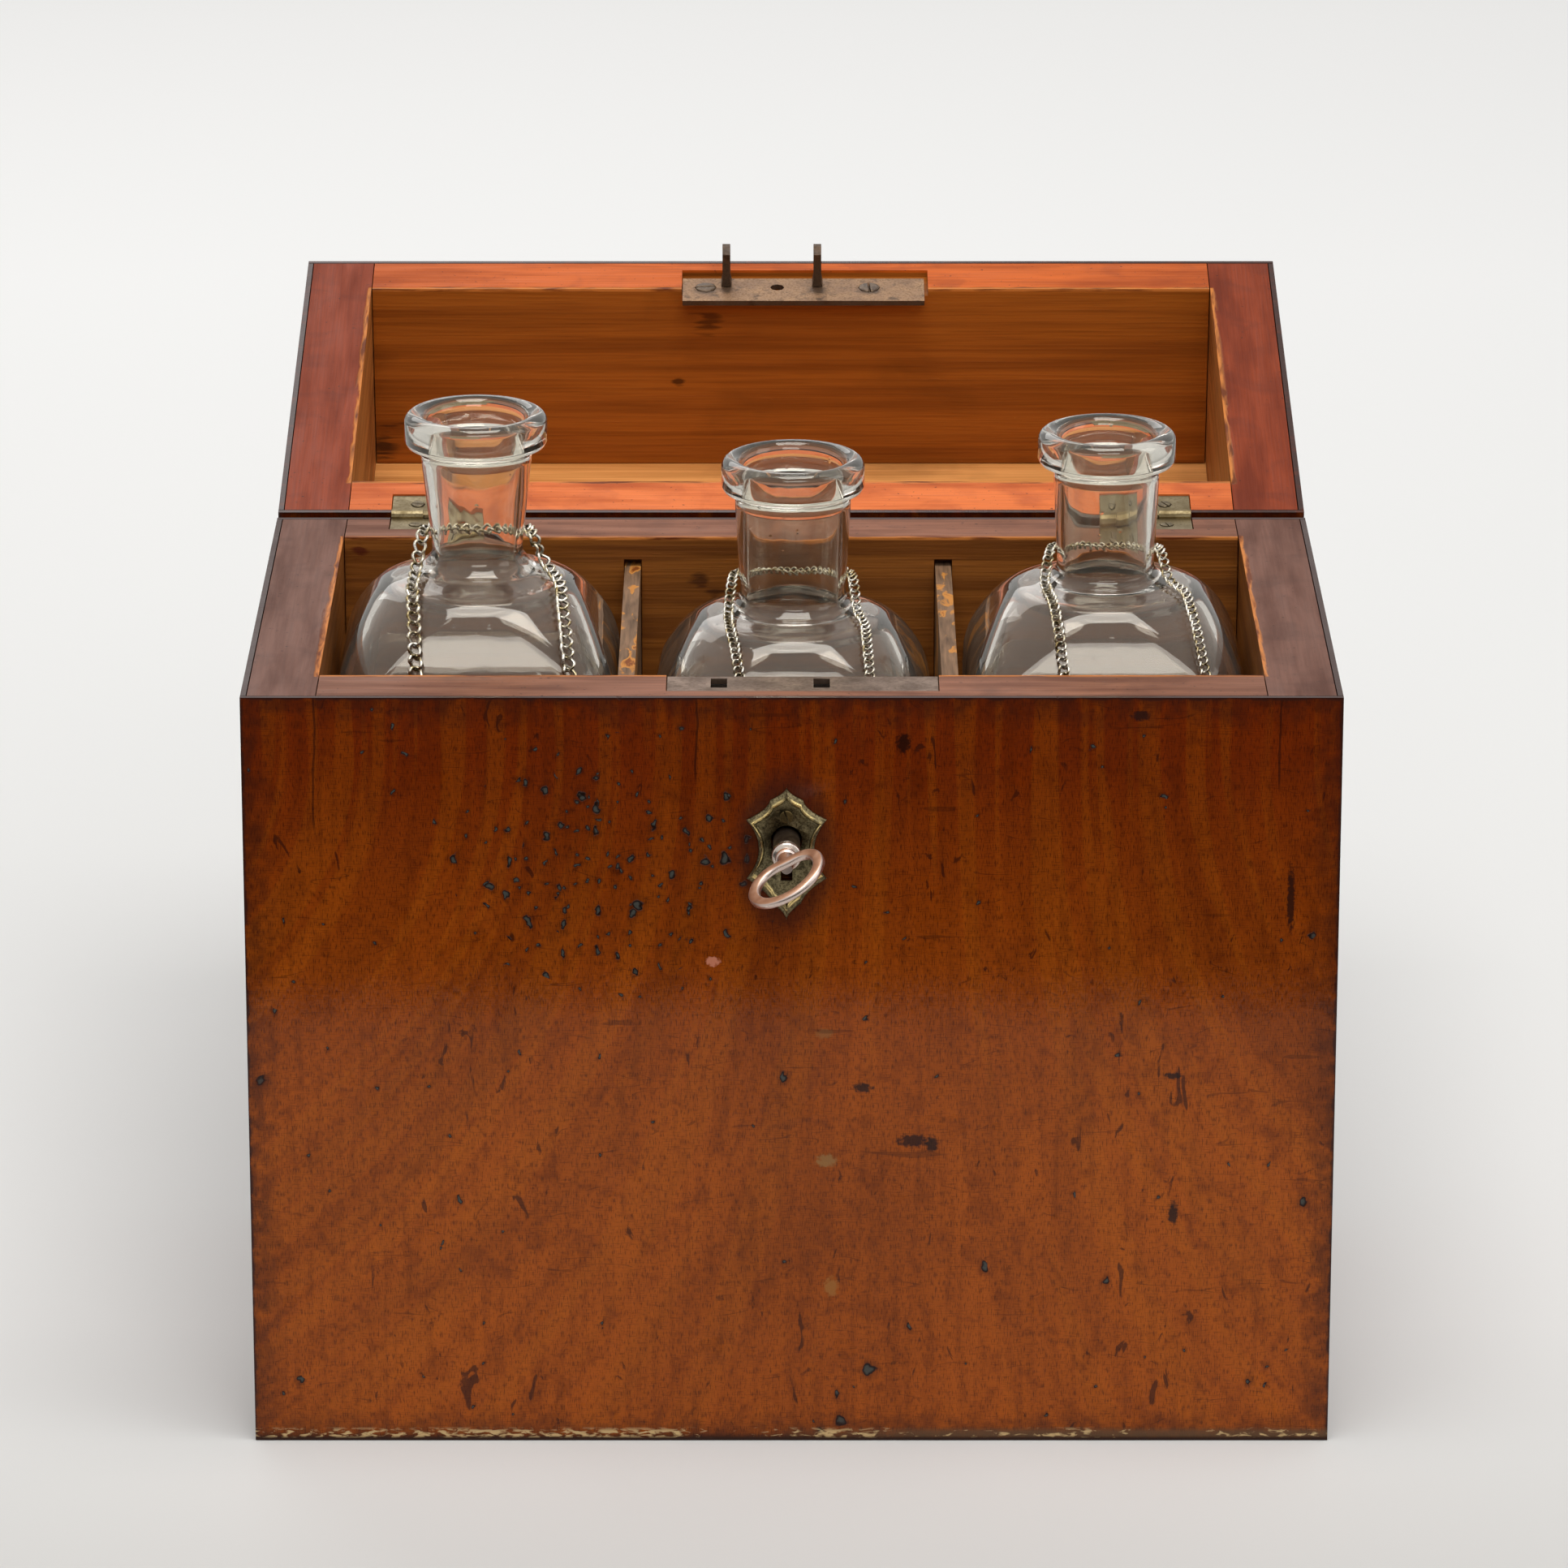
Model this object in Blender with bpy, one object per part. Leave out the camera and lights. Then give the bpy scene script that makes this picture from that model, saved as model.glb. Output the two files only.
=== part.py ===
"""A wooden travelling case for three glass bottles, standing open.

The pine box is veneered with mahogany. Two thin boards part it into three, and a square bottle with a round
neck stands in each part, with a metal chain hung round its neck. The lid turns on two brass butt hinges and
carries a plate with two eyed hooks, which drop through slots into a box lock in the front wall. A pipe key
throws the lock's bolt through the eyes.

Metres, +Z up. The origin is the middle of the base, the front face looks along -Y.
"""

import math

import bmesh
import bpy
from mathutils import Matrix, Vector

# Driving dimensions of the box
CASE_WIDTH = 0.300
CASE_DEPTH = 0.174
BODY_HEIGHT = 0.218
LID_HEIGHT = 0.0705
BOARD = 0.0186
VENEER = 0.0015
BOTTOM_THICKNESS = 0.011
LID_TOP_THICKNESS = 0.0085
LID_OPEN_DEG = 169.6

# The clearance between pieces that seat on each other, and how far a cut runs past what it cuts
SEAT = 0.0003
OVERRUN = 0.002

# Places that follow from the driving dimensions
WALL = BOARD + SEAT + VENEER
HALF_WIDTH = CASE_WIDTH / 2
FRONT = -CASE_DEPTH / 2
REAR = CASE_DEPTH / 2
INNER_X = HALF_WIDTH - WALL
INNER_FRONT = FRONT + WALL
INNER_REAR = REAR - WALL
LID_RIM = BODY_HEIGHT + SEAT
LID_TOP = LID_RIM + LID_HEIGHT

# The two hinges: the axis lies behind the rear face, level with the joint of lid and body
HINGE_LENGTH = 0.0282
HINGE_INSET = 0.0474
HINGE_X = HALF_WIDTH - HINGE_INSET
HINGE_BARREL_RADIUS = 0.0018
HINGE_PIN_RADIUS = 0.0007
HINGE_LEAF = 0.0012
LEAF_WIDTH = 0.0116
LEAF_SUNK = 0.0004
HINGE_AXIS_Y = REAR + SEAT + HINGE_BARREL_RADIUS
HINGE_AXIS_Z = BODY_HEIGHT + SEAT / 2

# The lock and its hooks. An inset is measured inwards from the front face, and a drop from the rim.
KEY_AXIS_X = -0.0014
KEY_DROP = 0.041
KEY_AXIS_Z = BODY_HEIGHT - KEY_DROP
LOCK_CENTRE_X = 0.003
LOCK_LENGTH = 0.074
LOCK_PLATE = 0.0016
LOCK_SUNK = 0.0004
LEFT_HOOK_X = -0.0199
RIGHT_HOOK_X = 0.0082
HOOK_XS = (LEFT_HOOK_X, RIGHT_HOOK_X)
HOOK_THICKNESS = 0.0024
HOOK_WIDTH = 0.0058
HOOK_INSET = 0.0154
HOOK_DEPTH = FRONT + HOOK_INSET
HOOK_REACH = 0.0130
BOLT_TRAVEL = 0.006
KEY_REST_DEG = 60

# The dividers, and the play of each bottle between them. The three bottles share what width is left.
DIVIDER = 0.0046
LEFT_PLAY = 0.0018
MIDDLE_PLAY = 0.0057
RIGHT_PLAY = 0.0037
BOTTLE_WIDTH = (2 * INNER_X - 2 * DIVIDER - LEFT_PLAY - MIDDLE_PLAY - RIGHT_PLAY) / 3
LEFT_DIVIDER_X = -INNER_X + LEFT_PLAY + BOTTLE_WIDTH + DIVIDER / 2
RIGHT_DIVIDER_X = INNER_X - RIGHT_PLAY - BOTTLE_WIDTH - DIVIDER / 2
BOTTLE_CORNER = 0.0085
GLASS = 0.003


def linear(channel):
    """One sRGB channel as scene-linear light."""
    if channel <= 0.04045:
        return channel / 12.92
    return ((channel + 0.055) / 1.055) ** 2.4


def material(name, colour, roughness, metallic=0.0, transmission=0.0):
    """A Principled material from an sRGB hex colour."""
    made = bpy.data.materials.new(name)
    made.use_nodes = True
    shader = made.node_tree.nodes["Principled BSDF"]
    channels = [int(colour[i : i + 2], 16) / 255 for i in (1, 3, 5)]
    shader.inputs["Base Color"].default_value = [linear(c) for c in channels] + [1]
    shader.inputs["Roughness"].default_value = roughness
    shader.inputs["Metallic"].default_value = metallic
    shader.inputs["Transmission Weight"].default_value = transmission
    made.diffuse_color = channels + [1]
    made.roughness = roughness
    made.metallic = metallic
    return made


def clear_scene():
    for obj in list(bpy.data.objects):
        bpy.data.objects.remove(obj, do_unlink=True)


def hold(obj, parent):
    """Parents obj where it stands, before the parent turns."""
    obj.parent = parent
    obj.matrix_parent_inverse = Matrix.Translation(-parent.location)


def place(bm, name, finish, origin=(0, 0, 0), parent=None):
    """Makes an object of a bmesh drawn in world places, with its own origin."""
    bmesh.ops.recalc_face_normals(bm, faces=bm.faces)
    bmesh.ops.translate(bm, verts=bm.verts, vec=-Vector(origin))
    mesh = bpy.data.meshes.new(name)
    bm.to_mesh(mesh)
    bm.free()
    mesh.shade_smooth()
    mesh.set_sharp_from_angle(angle=math.radians(SMOOTH_DEG))
    obj = bpy.data.objects.new(name, mesh)
    bpy.context.scene.collection.objects.link(obj)
    obj.location = origin
    if finish:
        mesh.materials.append(finish)
    if parent:
        hold(obj, parent)
    return obj


SMOOTH_DEG = 35


def change(target, tool, operation):
    """Cuts tool from target or joins it to target. The tool itself isn't a piece."""
    tool.hide_render = True
    tool.display_type = "WIRE"
    if target.parent and not tool.parent:
        hold(tool, target.parent)
    step = target.modifiers.new(tool.name, "BOOLEAN")
    step.operation = operation
    step.solver = "EXACT"
    step.object = tool


def cut(target, tool):
    change(target, tool, "DIFFERENCE")


def join(target, tool):
    change(target, tool, "UNION")


def add_block(bm, low, high):
    """A squared block from its lowest to its highest corner."""
    low, high = Vector(low), Vector(high)
    size = Matrix.Diagonal((high - low).to_4d())
    size[3][3] = 1
    bmesh.ops.create_cube(bm, size=1, matrix=Matrix.Translation((low + high) / 2) @ size)


def block(name, low, high, finish=None, parent=None):
    bm = bmesh.new()
    add_block(bm, low, high)
    return place(bm, name, finish, (Vector(low) + Vector(high)) / 2, parent)


def add_round(bm, start, end, radius, sides, end_radius=None):
    """A round bar or a cone from start to end."""
    start, end = Vector(start), Vector(end)
    turn = (end - start).to_track_quat("Z", "Y").to_matrix().to_4x4()
    bmesh.ops.create_cone(
        bm,
        cap_ends=True,
        segments=sides,
        radius1=radius,
        radius2=radius if end_radius is None else end_radius,
        depth=(end - start).length,
        matrix=Matrix.Translation((start + end) / 2) @ turn,
    )


def add_prism(bm, outline, along):
    """An outline of world points, carried along a vector."""
    face = bm.faces.new([bm.verts.new(p) for p in outline])
    swept = bmesh.ops.extrude_face_region(bm, geom=[face])
    moved = [v for v in swept["geom"] if isinstance(v, bmesh.types.BMVert)]
    bmesh.ops.translate(bm, verts=moved, vec=along)


def skin_rings(bm, rings, closed=False):
    """Joins rings of equal count with quads, and caps the ends where the run isn't closed."""
    rows = [[bm.verts.new(p) for p in ring] for ring in rings]
    count = len(rows[0])
    pairs = list(zip(rows, rows[1:] + rows[:1])) if closed else list(zip(rows, rows[1:]))
    for here, there in pairs:
        for i in range(count):
            j = (i + 1) % count
            bm.faces.new((here[i], here[j], there[j], there[i]))
    if not closed:
        bm.faces.new(rows[0])
        bm.faces.new(rows[-1])


def arc(centre, radius, start_deg, end_deg, steps):
    """Points of an arc in a plane, as (across, up) pairs."""
    turns = [math.radians(start_deg + (end_deg - start_deg) * i / steps) for i in range(steps + 1)]
    return [(centre[0] + radius * math.cos(t), centre[1] + radius * math.sin(t)) for t in turns]


def sides_of(prefix, low, high, boards, skins, parent=None):
    """Four boards and four veneers round the box from low to high. The side boards run its full depth."""
    cross = INNER_X - SEAT
    long_y = REAR - VENEER - SEAT
    made = {}
    for side, sign in (("left", -1), ("right", 1)):
        xs = sorted((sign * INNER_X, sign * (INNER_X + BOARD)))
        name = f"{prefix}{side}_side_board"
        made[name] = block(name, (xs[0], -long_y, low), (xs[1], long_y, high), boards, parent)
        xs = sorted((sign * (HALF_WIDTH - VENEER), sign * HALF_WIDTH))
        name = f"{prefix}{side}_veneer"
        made[name] = block(name, (xs[0], -long_y, low), (xs[1], long_y, high), skins, parent)
    for side, sign in (("front", -1), ("rear", 1)):
        ys = sorted((sign * (REAR - WALL), sign * (REAR - WALL + BOARD)))
        name = f"{prefix}{side}_board"
        made[name] = block(name, (-cross, ys[0], low), (cross, ys[1], high), boards, parent)
        ys = sorted((sign * (REAR - VENEER), sign * REAR))
        name = f"{prefix}{side}_veneer"
        made[name] = block(name, (-HALF_WIDTH, ys[0], low), (HALF_WIDTH, ys[1], high), skins, parent)
    return made


DIVIDER_DROP = 0.0087
GROOVE_DEPTH = 0.005
GROOVE_HEADROOM = 0.0021


def make_dividers(made, boards):
    """Two thin boards in stopped grooves of the front and rear boards, on the bottom board."""
    floor = BOTTOM_THICKNESS + SEAT
    top = BODY_HEIGHT - DIVIDER_DROP
    half = DIVIDER / 2
    for name, x in (("left_divider", LEFT_DIVIDER_X), ("right_divider", RIGHT_DIVIDER_X)):
        reach = INNER_REAR + GROOVE_DEPTH - SEAT
        block(name, (x - half, -reach, floor), (x + half, reach, top), boards)
        for board in ("front_board", "rear_board"):
            deep = INNER_REAR + GROOVE_DEPTH
            ys = (-deep, -INNER_REAR + OVERRUN) if board == "front_board" else (INNER_REAR - OVERRUN, deep)
            low = (x - half - SEAT, ys[0], BOTTOM_THICKNESS)
            high = (x + half + SEAT, ys[1], top + GROOVE_HEADROOM)
            cut(made[board], block(f"{name}_{board}_groove", low, high))


def make_body(boards, skins):
    made = sides_of("", 0, BODY_HEIGHT, boards, skins)
    low = (-INNER_X + SEAT, INNER_FRONT + SEAT, 0)
    block("bottom_board", low, (INNER_X - SEAT, INNER_REAR - SEAT, BOTTOM_THICKNESS), boards)
    make_dividers(made, boards)
    return made


def make_lid(pivot, boards, skins):
    """The lid's box, drawn closed on the body. Its top board lies on the walls, under the top veneer."""
    top_veneer = LID_TOP - VENEER
    top_board = top_veneer - SEAT
    walls = top_board - LID_TOP_THICKNESS - SEAT
    made = sides_of("lid_", LID_RIM, walls, boards, skins, pivot)
    for name in ("lid_left_veneer", "lid_right_veneer", "lid_front_veneer", "lid_rear_veneer"):
        stretch_up(made[name], top_board)
    x, y = INNER_X + BOARD, INNER_REAR + BOARD
    block("lid_top_board", (-x, -y, walls + SEAT), (x, y, top_board), boards, pivot)
    block("lid_top_veneer", (-HALF_WIDTH, FRONT, top_veneer), (HALF_WIDTH, REAR, LID_TOP), skins, pivot)
    return made


def stretch_up(obj, top):
    """Raises a block's upper face to the height top, for a veneer that also covers the top board's edge."""
    upper = [v for v in obj.data.vertices if v.co.z > 0]
    for v in upper:
        v.co.z = top - obj.location.z


SCREW_SIDES = 8
SCREW_LENGTH = 0.007
SCREW_HEAD_PROUD = 0.0003
SCREW_SLOT = 0.0006
SCREW_SHANK_SHARE = 0.5


def make_screw(name, at, out, head, plate, slot_deg, finish, parent=None):
    """A countersunk wood screw in a plate. out points away from the wood, and at is on the plate."""
    out = Vector(out)
    at = Vector(at)
    shank = head * SCREW_SHANK_SHARE
    bm = bmesh.new()
    side = out.orthogonal().normalized()
    turn = Matrix.Rotation(math.radians(slot_deg), 3, out)
    across, along = turn @ side, turn @ out.cross(side)
    steps = [2 * math.pi * i / SCREW_SIDES for i in range(SCREW_SIDES)]
    unit = [side * math.cos(t) + out.cross(side) * math.sin(t) for t in steps]
    crown = at + out * SCREW_HEAD_PROUD
    foot = at - out * (plate + SCREW_LENGTH)
    neck = at - out * plate
    levels = ((crown, head), (at, head), (neck, shank), (foot, shank))
    skin_rings(bm, [[centre + u * radius for u in unit] for centre, radius in levels])
    screw = place(bm, name, finish, at, parent)
    groove = bmesh.new()
    half = SCREW_SLOT / 2
    deep = out * (SCREW_SLOT + SCREW_HEAD_PROUD)
    far = along * (head + OVERRUN)
    low = crown - deep
    outline = [low + across * half + far, low - across * half + far]
    outline += [low - across * half - far, low + across * half - far]
    add_prism(groove, outline, deep + out * OVERRUN)
    cut(screw, place(groove, f"{name}_slot", None))
    return screw


def screw_seat(name, at, out, head, plate, parent=None):
    """The countersink through a plate, which runs on as the hole that the screw cuts in the wood."""
    out, at = Vector(out), Vector(at)
    shank = head * SCREW_SHANK_SHARE
    neck = at - out * plate
    bm = bmesh.new()
    side = out.orthogonal().normalized()
    steps = [2 * math.pi * i / SCREW_SIDES for i in range(SCREW_SIDES)]
    unit = [side * math.cos(t) + out.cross(side) * math.sin(t) for t in steps]
    wide, narrow = head + SEAT, shank + SEAT
    levels = ((at + out * OVERRUN, wide), (at, wide), (neck, narrow))
    levels += ((neck - out * (SCREW_LENGTH + SEAT), narrow),)
    skin_rings(bm, [[centre + u * radius for u in unit] for centre, radius in levels])
    return place(bm, name, None, at, parent)


HINGE_BARRELS = 3
HINGE_SIDES = 12
HINGE_SCREW_HEAD = 0.0019
HINGE_SCREW_INSET_SHARE = 0.26
HINGE_SCREW_DEPTH_SHARE = 0.52


def leaf(name, centre_x, own, low_z, high_z, finish, parent=None):
    """One leaf with its barrels. own is 0 where it has the outer barrels and 1 where it has the others."""
    left = centre_x - HINGE_LENGTH / 2
    pitch = HINGE_LENGTH / HINGE_BARRELS
    edge = HINGE_AXIS_Y - HINGE_BARREL_RADIUS - SEAT
    low = (left, REAR - LEAF_WIDTH, low_z)
    made = block(name, low, (left + HINGE_LENGTH, edge, high_z), finish, parent)
    tabs = bmesh.new()
    rolls = bmesh.new()
    for i in range(own, HINGE_BARRELS, 2):
        start = left + pitch * i + (SEAT / 2 if i else 0)
        end = left + pitch * (i + 1) - (SEAT / 2 if i < HINGE_BARRELS - 1 else 0)
        add_block(tabs, (start, edge - OVERRUN, low_z), (end, HINGE_AXIS_Y, high_z))
        ends = [(x, HINGE_AXIS_Y, HINGE_AXIS_Z) for x in (start, end)]
        add_round(rolls, ends[0], ends[1], HINGE_BARREL_RADIUS, HINGE_SIDES)
    join(made, place(tabs, f"{name}_tabs", None))
    join(made, place(rolls, f"{name}_rolls", None))
    bore = bmesh.new()
    ends = [(x, HINGE_AXIS_Y, HINGE_AXIS_Z) for x in (left - OVERRUN, left + HINGE_LENGTH + OVERRUN)]
    add_round(bore, ends[0], ends[1], HINGE_PIN_RADIUS + SEAT, HINGE_SIDES)
    cut(made, place(bore, f"{name}_bore", None))
    return made


def make_hinge(side, centre_x, body, lid, pivot, brass, steel):
    """A butt hinge let into both rims: two leaves, the pin that joins them, and two screws in each leaf."""
    body_top = BODY_HEIGHT - LEAF_SUNK
    lid_low = LID_RIM + LEAF_SUNK
    left = centre_x - HINGE_LENGTH / 2
    right = left + HINGE_LENGTH
    leaves = {
        "body": leaf(f"{side}_hinge_body_leaf", centre_x, 0, body_top - HINGE_LEAF, body_top, brass),
        "lid": leaf(f"{side}_hinge_lid_leaf", centre_x, 1, lid_low, lid_low + HINGE_LEAF, brass, pivot),
    }
    bm = bmesh.new()
    ends = [(x, HINGE_AXIS_Y, HINGE_AXIS_Z) for x in (left, right)]
    add_round(bm, ends[0], ends[1], HINGE_PIN_RADIUS, HINGE_SIDES)
    place(bm, f"{side}_hinge_pin", brass, ((left + right) / 2, HINGE_AXIS_Y, HINGE_AXIS_Z))
    seats = {
        "body": (body_top - HINGE_LEAF - SEAT, BODY_HEIGHT + OVERRUN),
        "lid": (LID_RIM - OVERRUN, lid_low + HINGE_LEAF + SEAT),
    }
    for half, (low, high) in seats.items():
        prefix, pieces, parent = ("", body, None) if half == "body" else ("lid_", lid, pivot)
        near = (left - SEAT, REAR - LEAF_WIDTH - SEAT, low)
        far = (right + SEAT, REAR + OVERRUN, high)
        for layer in ("rear_board", "rear_veneer"):
            tool = block(f"{side}_hinge_seat_{prefix}{layer}", near, far, None, parent)
            cut(pieces[prefix + layer], tool)
        up = 1 if half == "body" else -1
        face = body_top if half == "body" else lid_low
        inset = HINGE_LENGTH * HINGE_SCREW_INSET_SHARE
        for which, x in (("outer", left + inset), ("inner", right - inset)):
            at = (x, REAR - LEAF_WIDTH * HINGE_SCREW_DEPTH_SHARE, face)
            name = f"{side}_hinge_{half}_{which}_screw"
            out = (0, 0, up)
            make_screw(name, at, out, HINGE_SCREW_HEAD, HINGE_LEAF, SLOT_TURNS[which], steel, parent)
            for target, what in ((leaves[half], "seat"), (pieces[prefix + "rear_board"], "hole")):
                tool = screw_seat(f"{name}_{what}", at, out, HINGE_SCREW_HEAD, HINGE_LEAF, parent)
                cut(target, tool)


SLOT_TURNS = {"outer": 68, "inner": 20}

KEYHOLE_RADIUS = 0.0043
KEYHOLE_RISE = 0.0004
KEYHOLE_SLOT = 0.0032
KEYHOLE_DROP = 0.0112
KEYHOLE_STEPS = 12


def keyhole(name, start, end, ease=0.0):
    """The round eye that the key hangs low in, with the slot for its bit, from start to end along Y."""
    radius, half = KEYHOLE_RADIUS + ease, KEYHOLE_SLOT / 2 + ease
    open_deg = math.degrees(math.asin(half / radius))
    centre = (KEY_AXIS_X, KEY_AXIS_Z + KEYHOLE_RISE)
    round_part = arc(centre, radius, -90 + open_deg, 270 - open_deg, KEYHOLE_STEPS)
    foot = KEY_AXIS_Z - KEYHOLE_DROP - ease
    outline = [(x, start, z) for x, z in round_part]
    outline += [(KEY_AXIS_X - half, start, foot), (KEY_AXIS_X + half, start, foot)]
    bm = bmesh.new()
    add_prism(bm, outline, (0, end - start, 0))
    return place(bm, name, None)


# The lock's plates. The selvedge plate runs back to the inner face, where the back plate lies.
SELVEDGE_INSET = 0.0064
SLOT_INSET = 0.0104
SLOT_LENGTH = 0.0082
SLOT_WIDTH = 0.0045
CAP_INSET = 0.0080
CAP_SHEET = 0.0012
BACK_PLATE_HEIGHT = 0.0555
LOCK_SCREW_HEAD = 0.0017
LOCK_SCREW_INSET = 0.0027
LOCK_SCREW_DROP = 0.0050
SELVEDGE_FRONT = FRONT + SELVEDGE_INSET
SLOT_FRONT = FRONT + SLOT_INSET
CAP_FRONT = FRONT + CAP_INSET
BACK_PLATE = INNER_FRONT - LOCK_PLATE
SELVEDGE_TOP = BODY_HEIGHT - LOCK_SUNK
SELVEDGE_LOW = SELVEDGE_TOP - LOCK_PLATE
BACK_PLATE_TOP = SELVEDGE_LOW - SEAT
BACK_PLATE_LOW = BACK_PLATE_TOP - BACK_PLATE_HEIGHT
LOCK_LEFT = LOCK_CENTRE_X - LOCK_LENGTH / 2
LOCK_RIGHT = LOCK_CENTRE_X + LOCK_LENGTH / 2

# The bolt, at rest drawn back to the right: its bar, talon, arms and teeth, and the stumps it slides on
BOLT_THICKNESS = 0.0030
BOLT_LIFT = 0.0082
BOLT_BAR = 0.0108
BOLT_END = 0.0015
TALON_WIDTH = 0.0112
TALON_RISE = 0.0030
ARM_WIDTH = 0.0040
TOOTH_GAP = 0.0010
TOOTH_LENGTH = 0.0070
TOOTH_HEIGHT = 0.0036
STUMP_RADIUS = 0.0020
STUMP_COLLAR = 0.0032
LEFT_STUMP = 0.0156
RIGHT_STUMP = 0.0144
EYE_WIDTH = 0.0036
EYE_HEIGHT = 0.0050
EYE_FROM_TIP = 0.0022
BIT_REACH = 0.0105
STUMP_XS = (KEY_AXIS_X - LEFT_STUMP, KEY_AXIS_X + RIGHT_STUMP)
STUMP_PLAY = STUMP_RADIUS + SEAT
BOLT_LEFT = STUMP_XS[0] - STUMP_PLAY - BOLT_END
BOLT_RIGHT = STUMP_XS[1] + STUMP_PLAY + BOLT_TRAVEL + BOLT_END
BOLT_LOW = KEY_AXIS_Z + BOLT_LIFT
BOLT_TOP = BOLT_LOW + BOLT_BAR
HOOK_FACE = LID_RIM + LOCK_SUNK
HOOK_TIP = HOOK_FACE - HOOK_REACH
EYE_LOW = HOOK_TIP + EYE_FROM_TIP
TOOTH_LOW = EYE_LOW + (EYE_HEIGHT - TOOTH_HEIGHT) / 2
CAP_LEFT = BOLT_LEFT - BOLT_TRAVEL - 2 * SEAT - CAP_SHEET
CAP_RIGHT = BOLT_RIGHT + 2 * SEAT + CAP_SHEET
CAP_LOW = KEY_AXIS_Z - BIT_REACH - 2 * SEAT - CAP_SHEET


def make_selvedge_plate(finish):
    """The lock's top plate, let into the rim, with the two slots that the hooks drop through."""
    low = (LOCK_LEFT, SELVEDGE_FRONT, SELVEDGE_LOW)
    made = block("lock_selvedge_plate", low, (LOCK_RIGHT, BACK_PLATE + LOCK_PLATE, SELVEDGE_TOP), finish)
    bm = bmesh.new()
    for x in HOOK_XS:
        corner = (x - SLOT_WIDTH / 2, SLOT_FRONT, SELVEDGE_LOW - OVERRUN)
        add_block(bm, corner, (x + SLOT_WIDTH / 2, SLOT_FRONT + SLOT_LENGTH, SELVEDGE_TOP + OVERRUN))
    cut(made, place(bm, "selvedge_slots", None))
    return made


def lock_screw_places():
    """The four corners of the back plate, on its face inside the case."""
    low, high = BACK_PLATE_LOW + LOCK_SCREW_DROP, BACK_PLATE_TOP - LOCK_SCREW_DROP
    rows = (("upper", high), ("lower", low))
    columns = (("left", LOCK_LEFT + LOCK_SCREW_INSET), ("right", LOCK_RIGHT - LOCK_SCREW_INSET))
    face = BACK_PLATE + LOCK_PLATE
    return {f"lock_{row}_{side}_screw": (x, face, z) for row, z in rows for side, x in columns}


def make_back_plate(finish, screws, board):
    """The plate that closes the lock inside the case. Two collared stumps on it carry the bolt."""
    low = (LOCK_LEFT, BACK_PLATE, BACK_PLATE_LOW)
    made = block("lock_back_plate", low, (LOCK_RIGHT, BACK_PLATE + LOCK_PLATE, BACK_PLATE_TOP), finish)
    collars, stumps = bmesh.new(), bmesh.new()
    rear = HOOK_DEPTH + BOLT_THICKNESS / 2 + SEAT
    front = HOOK_DEPTH - BOLT_THICKNESS / 2 - SEAT
    for x in STUMP_XS:
        z = BOLT_LOW + BOLT_BAR / 2
        add_round(collars, (x, rear, z), (x, BACK_PLATE + LOCK_PLATE / 2, z), STUMP_COLLAR, HINGE_SIDES)
        add_round(stumps, (x, front, z), (x, BACK_PLATE, z), STUMP_RADIUS, HINGE_SIDES)
    join(made, place(collars, "stump_collars", None))
    join(made, place(stumps, "stumps", None))
    for name, at in lock_screw_places().items():
        out = (0, 1, 0)
        make_screw(name, at, out, LOCK_SCREW_HEAD, LOCK_PLATE, SLOT_TURNS["outer"], screws)
        cut(made, screw_seat(f"{name}_seat", at, out, LOCK_SCREW_HEAD, LOCK_PLATE))
        cut(board, screw_seat(f"{name}_hole", at, out, LOCK_SCREW_HEAD, LOCK_PLATE))
    return made


def make_lock_cap(finish):
    """The folded sheet that covers the works towards the front board, open at its top and back."""
    rear = BACK_PLATE - SEAT
    low, high = (CAP_LEFT, CAP_FRONT, CAP_LOW), (CAP_RIGHT, rear, BACK_PLATE_TOP)
    made = block("lock_cap", low, high, finish)
    low = [CAP_LEFT + CAP_SHEET, CAP_FRONT + CAP_SHEET, CAP_LOW + CAP_SHEET]
    high = [CAP_RIGHT - CAP_SHEET, rear + OVERRUN, BACK_PLATE_TOP + OVERRUN]
    cut(made, block("lock_cap_hollow", low, high))
    cut(made, keyhole("lock_cap_keyhole", CAP_FRONT - OVERRUN, CAP_FRONT + CAP_SHEET + OVERRUN))
    return made


DRILL_PIN_RADIUS = 0.0017
DRILL_PIN_REACH = 0.0130
DRILL_PIN_FOOT = 0.0030
DRILL_FOOT_THICKNESS = 0.0010


def make_drill_pin(finish):
    """The fixed pin that the pipe key slides over, with its riveted foot against the back plate."""
    bm = bmesh.new()
    seat = BACK_PLATE - SEAT
    levels = (
        (seat, DRILL_PIN_FOOT),
        (seat - DRILL_FOOT_THICKNESS, DRILL_PIN_FOOT),
        (seat - DRILL_FOOT_THICKNESS, DRILL_PIN_RADIUS),
        (seat - DRILL_PIN_REACH, DRILL_PIN_RADIUS),
    )
    origin = (KEY_AXIS_X, seat, KEY_AXIS_Z)
    add_turned(bm, levels, HINGE_SIDES, origin)
    return place(bm, "drill_pin", finish, origin)


def add_turned(bm, levels, sides, origin):
    """A solid turned about the line along Y through origin, from (y, radius) levels."""
    turns = [2 * math.pi * i / sides for i in range(sides)]
    rings = [
        [(origin[0] + radius * math.cos(t), y, origin[2] + radius * math.sin(t)) for t in turns]
        for y, radius in levels
    ]
    skin_rings(bm, rings)


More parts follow.
